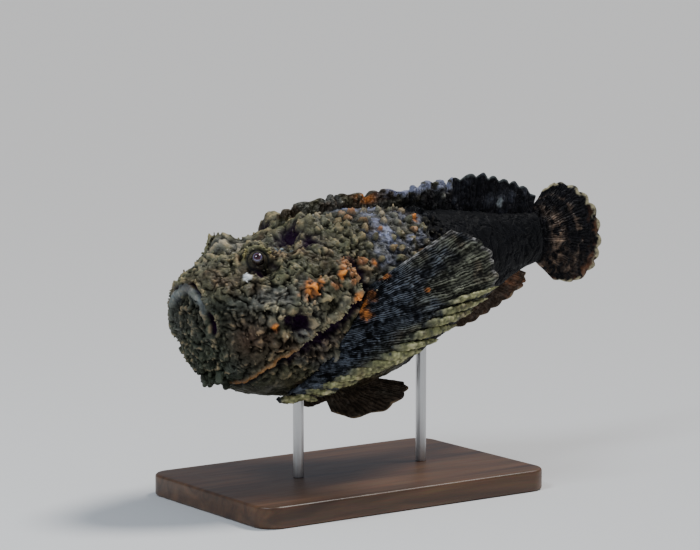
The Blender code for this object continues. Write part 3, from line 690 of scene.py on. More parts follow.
def studs(points):
    """(height, number) of the tall blunt warts of the flanks, set one by one and well apart."""
    draw = np.random.default_rng(29)
    height = np.zeros(points.shape[:-1])
    number = np.zeros(points.shape[:-1])
    placed = []
    wobble = 1 + 0.32 * grain(points, 2.6 * MM, 27) + 0.14 * grain(points, 1.2 * MM, 28)
    for _ in range(900):
        x = draw.uniform(0.315, 0.615)
        turn = draw.uniform(8, 82)
        angle = math.radians(turn if draw.random() < 0.5 else 180 - turn)
        radius = draw.uniform(2.0, 3.1) * MM * (1.15 - 0.5 * x)
        centre = skin(x, angle)[0]
        if centre[2] < (0.015 + 0.10 * (x - 0.32)) * SL:
            continue
        if any(np.linalg.norm(centre - other) < 6.3 * MM for other in placed):
            continue
        placed.append(centre)
        away = np.linalg.norm(points - centre, axis=-1) / radius * wobble
        bump = ramp(0.0, 0.45, 1 - away) * draw.uniform(0.55, 1.0)
        taller = bump > height
        height = np.where(taller, bump, height)
        number = np.where(taller, draw.random(), number)
    return height, number


def skin_zones(p, normal):
    """How far each point belongs to each region of the fish, from 0 to 1."""
    x, _, z = np.moveaxis(p / SL, -1, 0)
    return dict(
        upper=ramp(-0.35, 0.25, normal[..., 2]),
        belly=1 - ramp(-0.85, -0.45, normal[..., 2]),
        flank=ramp(0.34, 0.39, x) * (1 - ramp(0.56, 0.62, x)) * ramp(0.01, 0.05, z),
        face=1 - ramp(0.05, 0.13, x),
        rear=ramp(0.58, 0.70, x),
    )


def wart_relief(p, warp, s):
    """The height of crests, warts from large to tiny, studs and cracks, which join the shades s."""
    upper, belly, flank, face, rear = (s[name] for name in ("upper", "belly", "flank", "face", "rear"))
    q = p + warp
    body = 1 - 0.70 * belly
    rough = 0.50 + 0.85 * ramp(-0.35, 0.35, layers(p, 19 * MM, 65, 2))
    lump = layers(p, 15 * MM, 11, 2) * 1.7 * MM * (1 - 0.6 * rear)
    ridged = crests(q, 12.0 * MM, 14, 4)
    creased = crests(p + 0.5 * warp, 3.4 * MM, 44, 3)
    boss, _ = knobs(q, 13.0 * MM, 18, 0.35, 0.75, (0.24, 0.18))
    boss_rise = 2.8 * upper * (1 - 0.7 * face) * (1 - 0.8 * rear) * (1 - 0.9 * flank)
    big, _ = knobs(q, 8.2 * MM, 21, 0.45, 0.80, (0.32, 0.28))
    big_rise = (1.7 + 0.6 * upper) * (1 - 0.55 * face) * (1 - 0.7 * rear) * (1 - 0.9 * flank)
    stud, s["stud_number"] = studs(p + 0.35 * warp)
    middle, s["middle_number"] = knobs(p + 0.7 * warp, 4.3 * MM, 31, 0.3, 0.70, (0.28, 0.34))
    middle_rise = 1.5 * (1 - 0.3 * face) * (1 - 0.5 * rear) * (1 - 0.6 * flank) * rough
    small, _ = knobs(p + 0.3 * warp, 2.2 * MM, 41, 0.2, 0.75, (0.32, 0.34))
    tiny = grain(p, 1.1 * MM, 51)
    crack = np.clip(1 - np.abs(layers(q, 7.0 * MM, 61, 3)) * 4.5, 0, 1) ** 2 * (1 - 0.7 * flank)
    height = lump + body * (1 - 0.55 * rear) * MM * (
        2.3 * (ridged - 0.5) * (1 - 0.7 * flank) * rough
        + boss_rise * boss
        + big_rise * big
        + 3.7 * stud * (0.82 + 0.30 * small)
        + 0.9 * (creased - 0.5) * (1 - 0.6 * rear)
        + middle_rise * middle
        + 0.55 * small * rough
        + 0.12 * tiny
        - 1.1 * crack
    )
    s.update(stud=stud, middle=middle, small=small, crack=crack)
    return height - MM * body * (0.30 * big_rise + 0.50)


def mouth_relief(p, warp, height, s):
    """Shapes the closed mouth: calm skin round it, the lip, the slit and the lower jaw's own rim."""
    _, y, z = np.moveaxis(p / SL, -1, 0)
    wavy = p + stray(p, 9 * MM, 75, 1.5) + 0.5 * warp
    mouth, along = nearest_on_route(wavy, mouth_path())
    tall = (z - MOUTH_CORNER) / (MOUTH_TOP - MOUTH_CORNER)
    within = (np.abs(y) / MOUTH_HALF_WIDTH) ** 2 + np.clip(tall, 0, None) ** 2 < 1
    inner = np.where(within, 1.0, 0.0) * s["face"]
    height = height * (1 - 0.55 * np.exp(-((mouth / (5.5 * MM)) ** 2)))
    low_jaw = inner * np.exp(-(((mouth - 3.6 * MM) / (2.7 * MM)) ** 2))
    lip = (1 - inner) * np.exp(-(((mouth - 2.0 * MM) / (1.3 * MM)) ** 2))
    slit = np.exp(-((mouth / ((0.9 + 0.5 * np.abs(along - 0.5)) * MM)) ** 2)) * s["face"]
    height += MM * (2.1 * low_jaw + (1.3 + 0.9 * s["small"]) * lip - 3.0 * slit)
    wrinkles = crests(p * np.array((1, 1, 0.35)), 6 * MM, 78, 2) - 0.5
    s.update(low_jaw=low_jaw, slit=slit)
    return height + MM * 0.9 * inner * ramp(4 * MM, 8 * MM, mouth) * wrinkles


def gill_relief(p, height, s):
    """Raises the gill covers' flaps and the band under the jaw, and sinks the gaps behind them."""
    x, y, z = np.moveaxis(p / SL, -1, 0)
    edge, counts = gill_step(p)
    behind = edge + 1.3 * MM * grain(p, 3.4 * MM, 81) + 0.8 * MM * grain(p, 1.6 * MM, 82)
    flap = ramp(-9 * MM, -0.6 * MM, behind) * (1 - ramp(-0.6 * MM, 0.4 * MM, behind))
    gap = ramp(-0.3 * MM, 0.8 * MM, behind) * (1 - ramp(2.0 * MM, 8 * MM, behind))
    cover = ramp(0.10, 0.18, x)
    under = (1 - ramp(0.145, 0.175, x)) * ramp(0.045, 0.065, x)
    under = under * ramp(0.03, 0.06, np.abs(y)) * (z < -0.05)
    band = np.exp(-(((edge + 0.5 * MM) / (1.1 * MM)) ** 2)) * under
    below = ramp(0.4 * MM, 1.4 * MM, edge) * (1 - ramp(2 * MM, 5 * MM, edge)) * under
    s.update(flap=flap * counts, gap=gap * counts * cover, behind=behind, band=band, below=below)
    height = height + MM * counts * (1.3 * flap - 3.0 * gap) * cover
    return height + MM * (1.1 * band - 1.2 * below)


def eye_relief(p, height, s):
    """Sinks each eye's seat, with a rim, a dark moat round it and a thick brow over it."""
    s.update(eye=0 * height, lid=0 * height, socket=0 * height)
    for side in (-1, 1):
        centre, look = eye_seat(side)
        off = p - centre
        depth = off @ look
        away = np.linalg.norm(off - depth[..., None] * look, axis=-1)
        close = (np.linalg.norm(off, axis=-1) < 4.0 * EYE_RADIUS) & (depth > -0.6 * EYE_RADIUS)
        hole = close * (1 - ramp(0.80 * EYE_RADIUS, 1.0 * EYE_RADIUS, away))
        calm = close * (1 - ramp(1.3 * EYE_RADIUS, 2.4 * EYE_RADIUS, away))
        rim = close * np.exp(-(((away - 1.18 * EYE_RADIUS) / (0.6 * MM)) ** 2))
        moat = close * np.exp(-(((away - 1.62 * EYE_RADIUS) / (0.9 * MM)) ** 2))
        brow = close * np.exp(-(((away - 2.25 * EYE_RADIUS) / (1.1 * MM)) ** 2))
        brow = brow * ramp(-0.2, 0.5, off[..., 2] / EYE_RADIUS)
        height = height * (1 - 0.75 * calm)
        height += MM * (0.55 * rim - 1.0 * moat + 1.5 * brow - 3.4 * hole)
        s["eye"] = np.maximum(s["eye"], hole)
        s["socket"] = np.maximum(s["socket"], np.clip(moat + rim, 0, 1))
        s["lid"] = np.maximum(s["lid"], brow)
    return height


def skin_detail(p, normal):
    """(height over the smooth skin in metres, shades that the colours are mixed from)."""
    x, y, z = np.moveaxis(p / SL, -1, 0)
    s = skin_zones(p, normal)
    warp = stray(p, 6 * MM, 90, 1.7) + stray(p, 2.2 * MM, 95, 0.55)
    height = wart_relief(p, warp, s)
    for fx, fy, fz, radius, rise in FOLDS:
        away = ((x - fx) ** 2 + (np.abs(y) - fy) ** 2 + (z - fz) ** 2) / radius**2
        height += rise * MM * np.exp(-away)
    height = mouth_relief(p, warp, height, s)
    height = gill_relief(p, height, s)
    height = eye_relief(p, height, s)
    # Where painted shadow goes into the head's pits
    s["pit"] = spots(x, y, z, SHADOW_PITS)
    s["pale"] = spots(x, y, z, PALE_WARTS)
    height += s["pale"] * 1.2 * MM
    # cavity and wide_cavity, the height over near and wider neighbours, drive the painted highlights on
    # tops and painted shade in hollows
    s["cavity"] = np.clip((height - averaged(height, 5)) / (0.75 * MM), -1, 1)
    s["wide_cavity"] = np.clip((height - averaged(height, 15)) / (2.0 * MM), -1, 1)
    return height, s


def skin_colour(p, s):
    """The skin's colour at each vertex, mixed from its forms and from patchy noise, with painted shade in
    its hollows and painted highlights on its tops.
    """
    x, y, z = np.moveaxis(p / SL, -1, 0)
    fine = layers(p, 4 * MM, 111, 3)
    # Where skin_colour paints highlights onto the bumps and shade into the hollows
    top = np.clip(s["cavity"], 0, 1)
    hollow = np.clip(-s["cavity"], 0, 1)
    tint = layered(
        OLIVE,
        (STONE_GREY, ramp(-0.2, 0.5, layers(p, 22 * MM, 101, 4))),
        (UMBER, ramp(0.0, 0.45, layers(p, 17 * MM, 121, 3)) * 0.85),
        (MOSS, ramp(0.0, 0.4, layers(p, 12 * MM, 125, 3)) * 0.5),
    )
    # Darker towards the bottom: partly the fish's own darker underside and partly painted shade
    low = 1 - ramp(-0.17, 0.03, z)
    tint = tint * (1 - 0.55 * low)[..., None]
    cheek = np.exp(-(((x - 0.070) / 0.05) ** 2 + ((z + 0.045) / 0.05) ** 2)) * ramp(0.08, 0.13, np.abs(y))
    ground = s["flank"] * (1 - ramp(0.05, 0.4, s["stud"]))
    light = ground * ramp(0.36, 0.42, x) * ramp(-0.30, 0.35, layers(p, 10 * MM, 131, 3))
    light = light * ramp(0.02, 0.07, z) * (0.35 + 0.65 * ramp(-0.3, 0.3, fine))
    tint = layered(
        tint,
        (JAW_GREEN, 0.75 * s["face"] * (1 - ramp(0.03, 0.08, z))),
        (CHEEK_BROWN, 0.65 * cheek),
        # Painted shade on the skin between the flank's studs, then lavender patches over it, partly the
        # skin's own pale colour and partly painted sheen
        (NEAR_BLACK, 0.45 * ground),
        (LAVENDER, 0.55 * light),
        (RUST, 0.8 * ramp(0.80, 0.86, s["stud_number"]) * s["stud"]),
        (STUD_OLIVE, 0.65 * s["stud"] * (s["stud_number"] < 0.80)),
    )
    for px, py, pz, radius, colour in PATCHES:
        away = np.sqrt((x - px) ** 2 + (np.abs(y) - py) ** 2 + (z - pz) ** 2) / radius
        ragged = away + 0.60 * layers(p, 3.6 * MM, 151, 3) - 0.30 * s["cavity"]
        side = np.where(y < 0, 1.0, 0.8)
        if colour == ORANGE:
            tint = blend(tint, RUST, 0.7 * side * (1 - ramp(0.8, 1.6, ragged)))
        tint = blend(tint, colour, side * (1 - ramp(0.45, 1.05, ragged)) * (0.75 + 0.25 * fine))
    tips = s["pale"] * ramp(0.1, 0.6, s["middle"] + 0.5 * s["small"])
    scattered = ramp(0.955, 0.985, s["middle_number"]) * ramp(0.3, 0.7, s["middle"])
    tint = layered(
        tint,
        (CREAM, 0.8 * np.clip(tips * 1.4, 0, 1)),
        (CREAM, 0.45 * scattered * s["upper"]),
        (TAN, 0.30 * ramp(0.45, 0.9, top) * ramp(-0.3, 0.4, fine)),
    )
    # Painted highlights on the bumps' tops, weaker on the studs, and painted shade in the hollows, finely
    # and broadly
    top = top * (1 - 0.55 * s["stud"])
    tint = tint * ((1 + 0.75 * top - 0.80 * hollow) * (1 + 0.40 * s["wide_cavity"]))[..., None]
    # Darker in the cracks: painted shade
    tint = tint * (1 - 0.6 * s["crack"])[..., None]
    # The rear turns near black, reaching further forward low down: partly the fish's own dark colour and
    # partly painted shade; the bluish specks on its bumps' tops are painted highlights
    edge = 0.060 * layers(p, 12 * MM, 141, 4)
    dark_rear = ramp(0.545, 0.625, x + edge + 0.35 * (0.10 - z) * (z < 0.10))
    rear_glint = ramp(0.55, 0.95, top) * ramp(0.0, 0.6, fine) * 0.35
    tint = layered(
        tint,
        (blend(REAR_BLACK, REAR_BLUE, rear_glint), 0.985 * dark_rear),
        # Painted shadow in the head's pits and deep folds
        (PURPLE_BLACK, np.clip(1.25 * s["pit"] * (1 - 0.4 * top), 0, 0.96)),
        # Painted shade in the gaps behind the gill covers and in the mouth's slit
        (PURPLE_BLACK, 0.96 * np.clip(s["gap"] + 1.2 * s["slit"], 0, 1)),
        (FLAP_EDGE, 0.4 * s["flap"] * ramp(-3 * MM, -0.8 * MM, s["behind"])),
        (BAND_BROWN, 0.85 * s["band"]),
        # Painted shade in the sunken strip behind the band under the jaw
        (NEAR_BLACK, 0.8 * s["below"]),
        # Pale grey on the lower jaw's rim where it faces up: partly its own colour and partly a painted
        # highlight
        (LIP_GREY, 0.75 * s["low_jaw"] * ramp(0.00, 0.06, z) * (0.6 + 0.4 * fine)),
        (LID_OLIVE, 0.7 * s["lid"]),
        # Darker on the rim and in the moat round each eye and in its seat: painted shade of the eye's
        # hollow
        (NEAR_BLACK, np.clip(0.9 * s["socket"], 0, 1)),
        (NEAR_BLACK, s["eye"]),
    )
    return tint * (1 + 0.45 * fine)[..., None]


def put_node(tree, kind, values=(), links=(), **settings):
    """A shader node with its settings, its input values and the outputs that feed its inputs."""
    made = tree.nodes.new("ShaderNode" + kind)
    for name, value in settings.items():
        setattr(made, name, value)
    for name, value in dict(values).items():
        made.inputs[name].default_value = value
    for name, output in dict(links).items():
        tree.links.new(output, made.inputs[name])
    return made


def new_material(name):
    """(material, its nodes, its shader, the place on the object that its textures read)."""
    made = bpy.data.materials.new(name)
    made.use_nodes = True
    tree = made.node_tree
    return made, tree, tree.nodes["Principled BSDF"], put_node(tree, "TexCoord").outputs["Object"]


def noise_node(tree, place, scale, detail=2.0, distortion=0.0):
    values = {"Scale": scale, "Detail": detail, "Distortion": distortion}
    return put_node(tree, "TexNoise", values, {"Vector": place})


def spread(tree, source, low, high, from_low=0.0, from_high=1.0):
    """A value spread from one range over another."""
    values = {"From Min": from_low, "From Max": from_high, "To Min": low, "To Max": high}
    return put_node(tree, "MapRange", values, {"Value": source}).outputs["Result"]


def stretched(tree, place, scale):
    return put_node(tree, "Mapping", {"Scale": scale}, {"Vector": place}).outputs["Vector"]


def hide_material(name, rough=(0.36, 0.66), bump=0.35, coat=0.0, coat_rough=0.25, shine=0.24):
    """Wet, pebbly hide: the piece's own tints, broken up by fine noise, with fine bump and patchy gloss."""
    made, tree, shader, place = new_material(name)
    tint = put_node(tree, "Attribute", attribute_name="tint")
    fine = noise_node(tree, place, 900.0, 5.0).outputs["Fac"]
    coarse = noise_node(tree, place, 240.0, 3.0).outputs["Fac"]
    pebble = put_node(tree, "TexVoronoi", {"Scale": 1300.0}, {"Vector": place})
    mottled = {0: tint.outputs["Color"], "Scale": spread(tree, fine, 0.62, 1.38)}
    height = {"Height": pebble.outputs["Distance"]}
    first = put_node(tree, "Bump", {"Strength": bump, "Distance": 0.0006}, height).outputs["Normal"]
    height = {"Height": fine, "Normal": first}
    second = put_node(tree, "Bump", {"Strength": bump, "Distance": 0.0005}, height).outputs["Normal"]
    feeds = {
        "Base Color": put_node(tree, "VectorMath", (), mottled, operation="SCALE").outputs["Vector"],
        "Roughness": spread(tree, coarse, rough[0], rough[1], 0.3, 0.7),
        "Normal": second,
        "Specular IOR Level": spread(tree, tint.outputs["Fac"], 0.15 * shine, 1.3 * shine, 0.0, 0.07),
    }
    for socket, output in feeds.items():
        tree.links.new(output, shader.inputs[socket])
    shader.inputs["Coat Weight"].default_value = coat
    shader.inputs["Coat Roughness"].default_value = coat_rough
    return made


def ray_places(u, rays, seed, wander):
    """Where each u lies among rays that are unevenly spaced, and a rise of its own for each ray."""
    draw = np.random.default_rng(seed)
    spots_of_rays = np.linspace(0, 1, rays)
    spots_of_rays[1:-1] += draw.uniform(-wander, wander, rays - 2) / (rays - 1)
    phase = np.interp(u, spots_of_rays, np.arange(rays))
    length = np.interp(phase, np.arange(rays), draw.uniform(0, 1, rays))
    return phase, length


def bark(points, phase, v, seed, stretch):
    """Broken ridges that run along the rays, four and nine to each ray, from 0 to 1."""
    flat = np.stack([phase * 3.6, v * stretch, np.full_like(v, 3.0 * seed)], -1) * MM
    drift = 0.50 * grain(points, 6.5 * MM, seed) + 0.30 * grain(points, 2.6 * MM, seed + 1)
    nine = 9 * phase + 2.2 * drift + 0.25 * grain(points, 1.3 * MM, seed + 2)
    wide = 0.5 + 0.5 * np.cos(2 * math.pi * (4 * phase + drift))
    narrow = 0.5 + 0.5 * np.cos(2 * math.pi * nine)
    dashes = ramp(-0.45, 0.40, layers(flat, 2.2 * MM, seed + 3, 3))
    crumbs = ramp(-0.50, 0.60, layers(points, 1.8 * MM, seed + 6, 3))
    return np.clip((0.50 * wide + 0.26 * narrow) * (0.30 + 0.70 * dashes) + 0.34 * crumbs, 0, 1)


def border(wide, tall):
    """The corner numbers once round the edge of a grid."""
    rim = list(range(tall))
    rim += [i * tall + tall - 1 for i in range(1, wide)]
    rim += [(wide - 1) * tall + j for j in range(tall - 2, -1, -1)]
    rim += [i * tall for i in range(wide - 2, 0, -1)]
    return np.array(rim)


def plate_faces(wide, tall):
    """The triangles of a closed plate: its two faces, each a grid, and the strip between them."""
    count = wide * tall
    i, j = np.meshgrid(np.arange(wide - 1), np.arange(tall - 1), indexing="ij")
    a = (i * tall + j).ravel()
    b = a + tall
    front = np.vstack([np.stack([a, b, b + 1], 1), np.stack([a, b + 1, a + 1], 1)])
    rim = border(wide, tall)
    after = np.roll(rim, -1)
    strip = [np.stack([rim, after, after + count], 1), np.stack([rim, after + count, rim + count], 1)]
    return np.vstack([front, front[:, ::-1] + count] + strip)


def fin_piece(sheet, rays, form, paint, grid, seed, wander, ragged, lumpy):
    """A fin: a closed plate round a curved sheet, with rounded rays, a lobed edge and wrinkled faces.

    form(u, v, ray, phase) gives (thickness, notch); paint(u, v, ray, phase, points, pebble) the colours,
    where pebble, the height of the face's ridges, lets the paint lay painted shade in the grooves and
    painted highlights on the ridges.
    """
    share = 1.0
    wide, tall = (int(count * share) for count in grid)
    u, v = np.meshgrid(np.linspace(0, 1, wide), np.linspace(0, 1, tall) ** 0.9, indexing="ij")
    phase, length = ray_places(u, rays, seed, wander)
    ray = 0.5 + 0.5 * np.cos(2 * math.pi * phase)
    thick, notch = form(u, v, ray, phase)
    torn = 0.5 + 0.5 * grain(np.stack([phase * 4, 0 * u, 0 * u], -1) * MM, 1.0 * MM, seed + 5)
    frayed = notch * (1 - np.sqrt(ray)) + ragged * length + 0.35 * ragged * torn
    middle = sheet(u, v * (1 - v**2 * frayed))
    normal = unit(np.cross(np.gradient(middle, axis=0), np.gradient(middle, axis=1)))
    rounded = np.sqrt(np.clip(1 - ((v - 0.955) / 0.045).clip(0, 1) ** 2, 0.02, 1))
    ends = np.minimum(u, 1 - u) * (rays - 1)
    rounded = rounded * np.sqrt(np.clip(1 - (1 - np.clip(ends / 0.35, 0, 1)) ** 2, 0.05, 1))
    span = np.linalg.norm(sheet(u, np.ones_like(u)) - sheet(u, np.zeros_like(u)), axis=-1) / MM
    vertices = []
    tints = []
    for side in (1, -1):
        flat = middle + side * normal * (thick / 2 * rounded)[..., None]
        pebble = bark(flat, phase, v * span / 26, seed + 31 + side, 7.5)
        dots = knobs(flat, 4.2 * MM, seed + 201 + side, 0.2, 0.55, (0.22, 0.22))[0]
        pebble = np.clip(pebble + 0.4 * dots, 0, 1)
        lift = (pebble - 0.45) * 1.25 * MM * np.clip(thick / (2.0 * MM), 0.4, 1.0)
        if lumpy:
            moved = flat + stray(flat, 3 * MM, seed + 240, 1.2)
            bumps = knobs(moved, 4.4 * MM, seed + 221, 0.3, 0.85, (0.26, 0.34))[0]
            lift = lift + lumpy * MM * (0.9 * bumps - 0.25)
            lift = lift + 0.9 * lumpy * MM * (crests(moved, 6.0 * MM, seed + 231, 4) - 0.5)
            pebble = np.clip(0.5 * pebble + 0.5 * bumps + 0.15, 0, 1)
        vertices.append((flat + side * normal * (lift * rounded)[..., None]).reshape(-1, 3))
        tints.append(paint(u, v, ray, phase, middle, pebble).reshape(-1, 3))
    half = np.stack([0.01 + 0.48 * u, 0.01 + 0.68 * v], -1).reshape(-1, 2)
    unwrap = np.vstack([half, half + np.array((0.5, 0.0))])
    return np.vstack(vertices), plate_faces(wide, tall), np.vstack(tints), unwrap


def outward(sheet):
    """1 for a fin on the fish's right and -1 for one on its left."""
    return np.sign(sheet(np.array(0.5), np.array(0.5))[1])


def strand_paths(sheet, rays, t):
    """The middles of the fleshy ray tips, from the hindmost to the one on the throat."""
    for k in range(FIRST_STRAND, rays):
        u = min(k / (rays - 1), 0.985)
        near_front = (k - FIRST_STRAND) / (rays - 1 - FIRST_STRAND)
        begin = 0.58 - 0.50 * near_front**1.5
        yield sheet(np.full(len(t), u), begin + (1.03 - begin) * t), near_front
    yield route(THROAT, t) * np.array((1, outward(sheet), 1)) * SL, 1.0


def strands(sheet, rays, seed):
    """The thick fleshy tips of the lower rays, lapping over each other like the strands of a rope."""
    draw = np.random.default_rng(seed)
    rings, sides = STRAND_GRID
    t = np.linspace(0, 1, rings)
    turn = np.linspace(0, 2 * math.pi, sides, endpoint=False)
    parts = []
    for count, (path, near_front) in enumerate(strand_paths(sheet, rays, t)):
        girth = (3.0 - 0.6 * near_front) * MM * draw.uniform(0.9, 1.08)
        girth = girth * (0.70 + 0.30 * ramp(0, 3, count))
        radius = np.maximum(girth * np.clip(np.sin(math.pi * t**0.75), 0, 1) ** 0.55, 0.02 * MM)
        along = unit(np.gradient(path, axis=0))
        away = np.array((0.0, outward(sheet), 0.0))
        away = unit(away - along * (along @ away)[:, None])
        across = np.cross(along, away)
        path = path + away * (1.5 * MM * np.sin(math.pi * t))[:, None]
        ring = np.cos(turn)[None, :, None] * across[:, None] * 0.92
        ring = ring + np.sin(turn)[None, :, None] * away[:, None] * 0.80
        points = path[:, None] + ring * radius[:, None, None]
        rough = 0.5 * crests(points + count, 3.4 * MM, seed + count, 3)
        rough = rough + 0.5 * knobs(points, 2.6 * MM, seed + 50, 0.3)[0]
        lift = (rough - 0.45) * 1.25 * MM * np.minimum(radius / MM, 1)[:, None]
        points = points + unit(ring) * lift[..., None]
        fine = layers(points, 2.5 * MM, seed + 60, 3)
        share = ramp(0.02, 0.40, t)[:, None] * np.ones(sides)
        tint = layered(
            SLATE,
            (YELLOW_GREEN, share * ramp(-0.9, -0.1, fine)),
            # Cream painted highlights on the crests of the strand's roughness
            (CREAM, 0.65 * ramp(0.40, 0.75, rough) * share),
            (TAN, 0.35 * ramp(0.1, 0.5, layers(points, 6 * MM, seed + 70, 2)) * share),
        )
        # Darker on the side of each strand that faces in and in the grooves of its roughness: painted shade
        shade = 0.08 + 0.92 * ramp(-0.15, 0.70, np.sin(turn))
        tint = tint * (shade * (0.20 + 1.60 * rough))[..., None]
        box = np.stack(np.meshgrid(t, turn / 6.3, indexing="ij"), -1).reshape(-1, 2)
        corner = np.array((0.01 + 0.075 * count, 0.72))
        patch = np.array((0.07, 0.26))
        parts.append(
            (
                np.vstack([points.reshape(-1, 3), path[0], path[-1]]),
                tube_faces(rings, sides) + count * (rings * sides + 2),
                np.vstack([tint.reshape(-1, 3), tint[0].mean(axis=0), tint[-1].mean(axis=0)]),
                np.vstack([corner + box * patch, corner, corner + patch]),
            )
        )
    return [np.vstack(column) for column in zip(*parts)]


def turn_out(piece, join=0.0):
    """Turns the faces of each closed body of a piece outwards, once corners within join are one."""
    shape = bmesh.new()
    shape.from_mesh(piece.data)
    if join:
        bmesh.ops.remove_doubles(shape, verts=shape.verts, dist=join)
    bmesh.ops.recalc_face_normals(shape, faces=shape.faces)
    shape.to_mesh(piece.data)
    shape.free()


def back_height(x, up):
    """The height of the middle line of the back or belly at x in SL, in metres."""
    return skin(x, np.full(np.shape(x), math.pi / 2 if up else -math.pi / 2))[0][..., 2]


def flat_fin(edge, base_from, base_to, up, sink, lean):
    """The sheet of a fin in the fish's middle plane."""

    def sheet(u, v):
        tip = route(edge, u) * SL
        base_x = base_from + (base_to - base_from) * u
        base_z = back_height(base_x, up) + (-sink if up else sink)
        x = base_x * SL * (1 - v) + (tip[..., 0] + lean) * v
        z = base_z * (1 - v) + tip[..., 1] * v
        return np.stack([x, np.zeros_like(x), z], -1)

    return sheet


def caudal_sheet(u, v):
    tip = route(CAUDAL_EDGE, u) * SL
    x = 0.982 * SL * (1 - v) + tip[..., 0] * v
    z = (0.046 - 0.094 * u) * SL * (1 - v) + tip[..., 1] * v
    return np.stack([x, 0.0016 * np.sin(3 * math.pi * u) * v * v, z], -1)


def pectoral_sheet(u, v):
    base = route(PECTORAL_ROOT, u) * SL
    tip = route(PECTORAL_EDGE, u) * SL
    v = v[..., None]
    point = base * (1 - v) + tip * v
    bow = 0.006 * np.sin(math.pi * np.minimum(v[..., 0], 1.0)) * np.sin(math.pi * u)
    point[..., 1] -= bow
    return point


def pelvic_sheet(u, v):
    v = v[..., None]
    return route(PELVIC_ROOT, u) * SL * (1 - v) + route(PELVIC_EDGE, u) * SL * v


def mirrored(sheet):
    return lambda u, v: sheet(u, v) * np.array((1, -1, 1))


def plain_form(root, edge, ray_rise, notch):
    """A fin's thickness at its root and edge and the rise of its rays, in millimetres, and its notches."""

    def form(u, v, ray, phase):
        thick = root * MM + (edge * MM - root * MM) * ramp(0, 1, v) ** 0.7
        thick = thick + ray_rise * MM * ray**1.5 * ramp(0.12, 0.4, v) * (1.1 - 0.5 * v)
        return thick, notch

    return form


def pectoral_form(u, v, ray, phase):
    """Low rays above, and below them the ones that end in thick fleshy tips."""
    split = 0.5 + 0.5 * np.cos(6 * math.pi * phase)
    rise = 1.3 * ray**1.2 + 0.5 * split * ramp(0.35, 0.7, v)
    thick = 4.2 * MM + (0.9 * MM - 4.2 * MM) * ramp(0, 1, v) ** 0.7
    thick = thick + rise * MM * ramp(0.08, 0.35, v) * (1 - 0.4 * v)
    return thick, 0.020 + 0.11 * ramp(0.40, 0.56, u)


def dorsal_front_form(u, v, ray, phase):
    thick = 5.6 * MM + (3.0 * MM - 5.6 * MM) * v
    thick = thick + 1.6 * MM * ray * ramp(0.1, 0.5, v)
    return thick, 0.16 + 0.10 * np.sin(phase * 2.1)


def ridge_paint(u, v, ray, phase, p, pebble):
    """The spiny dorsal fin: the back's own colours with painted shade and highlights, and the orange patch
    halfway along.
    """
    x = p[..., 0] / SL
    fine = layers(p, 4 * MM, 301, 3)
    tint = layered(
        OLIVE,
        (STONE_GREY, ramp(-0.2, 0.5, layers(p, 16 * MM, 302, 3))),
        (UMBER, 0.8 * ramp(-0.1, 0.4, layers(p, 9 * MM, 303, 3))),
    )
    # Painted shade in the grooves and painted highlights on the ridges and along the rays
    tint = tint * (0.10 + 1.25 * pebble + 0.25 * ray * v)[..., None]
    # Near black towards the rear, less so near the edge: partly the fin's own dark colour and partly
    # painted shade
    dark = 0.92 * ramp(0.50, 0.62, x) * (1 - 0.75 * ramp(0.50, 0.85, v + 0.3 * fine))
    glow = np.exp(-(((x - 0.487) / 0.022) ** 2)) * ramp(-0.5, 0.2, fine + 0.5 * pebble)
    glow = glow * ramp(0.35, 0.6, v) * (1 - ramp(0.85, 1.0, v))
    cool = ramp(0.50, 0.60, x) * ramp(0.55, 0.85, v) * ramp(-0.1, 0.4, fine + 0.4 * pebble)
    tint = layered(tint, (NEAR_BLACK, dark), (ORANGE, 0.85 * glow), (LAVENDER, 0.45 * cool))
    return tint * (1 + 0.45 * fine)[..., None]


def dark_fin_paint(edge_colour, edge_from, middle_colour, body_colour, seed, strength):
    """The paint of a dark fin with a mottled middle and a broken edge of its own colour."""

    def paint(u, v, ray, phase, p, pebble):
        fine = layers(p, 3.5 * MM, seed, 3)
        patch = layers(p, 9 * MM, seed + 9, 3)
        tint = blend(body_colour, middle_colour, 0.7 * ramp(-0.1, 0.5, patch) * (0.4 + 0.6 * ray))
        # Painted shade in the grooves and painted highlights on the ridges
        tint = tint * (0.25 + 1.3 * pebble)[..., None]
        rim = ramp(edge_from, edge_from + 0.07, v + 0.04 * fine)
        rim = rim * ramp(-0.45, 0.25, layers(p, 5 * MM, seed + 19, 2))
        tint = blend(tint, edge_colour, strength * rim)
        return tint * (1 + 0.35 * fine)[..., None]

    return paint


def soft_dorsal_paint(u, v, ray, phase, p, pebble):
    """Near black with a greyish edge, and one pale star low on the left side."""
    plain = dark_fin_paint(SOFT_EDGE, 0.90, SOFT_MIDDLE, NEAR_BLACK, 391, 0.55)
    x, _, z = np.moveaxis(p / SL, -1, 0)
    star = np.exp(-(((x - 0.883) / 0.012) ** 2) - ((z - 0.100) / 0.012) ** 2)
    star = star + 0.3 * layers(p, 3 * MM, 395, 2)
    return blend(plain(u, v, ray, phase, p, pebble), STAR_GREY, 0.85 * ramp(0.3, 0.6, star))


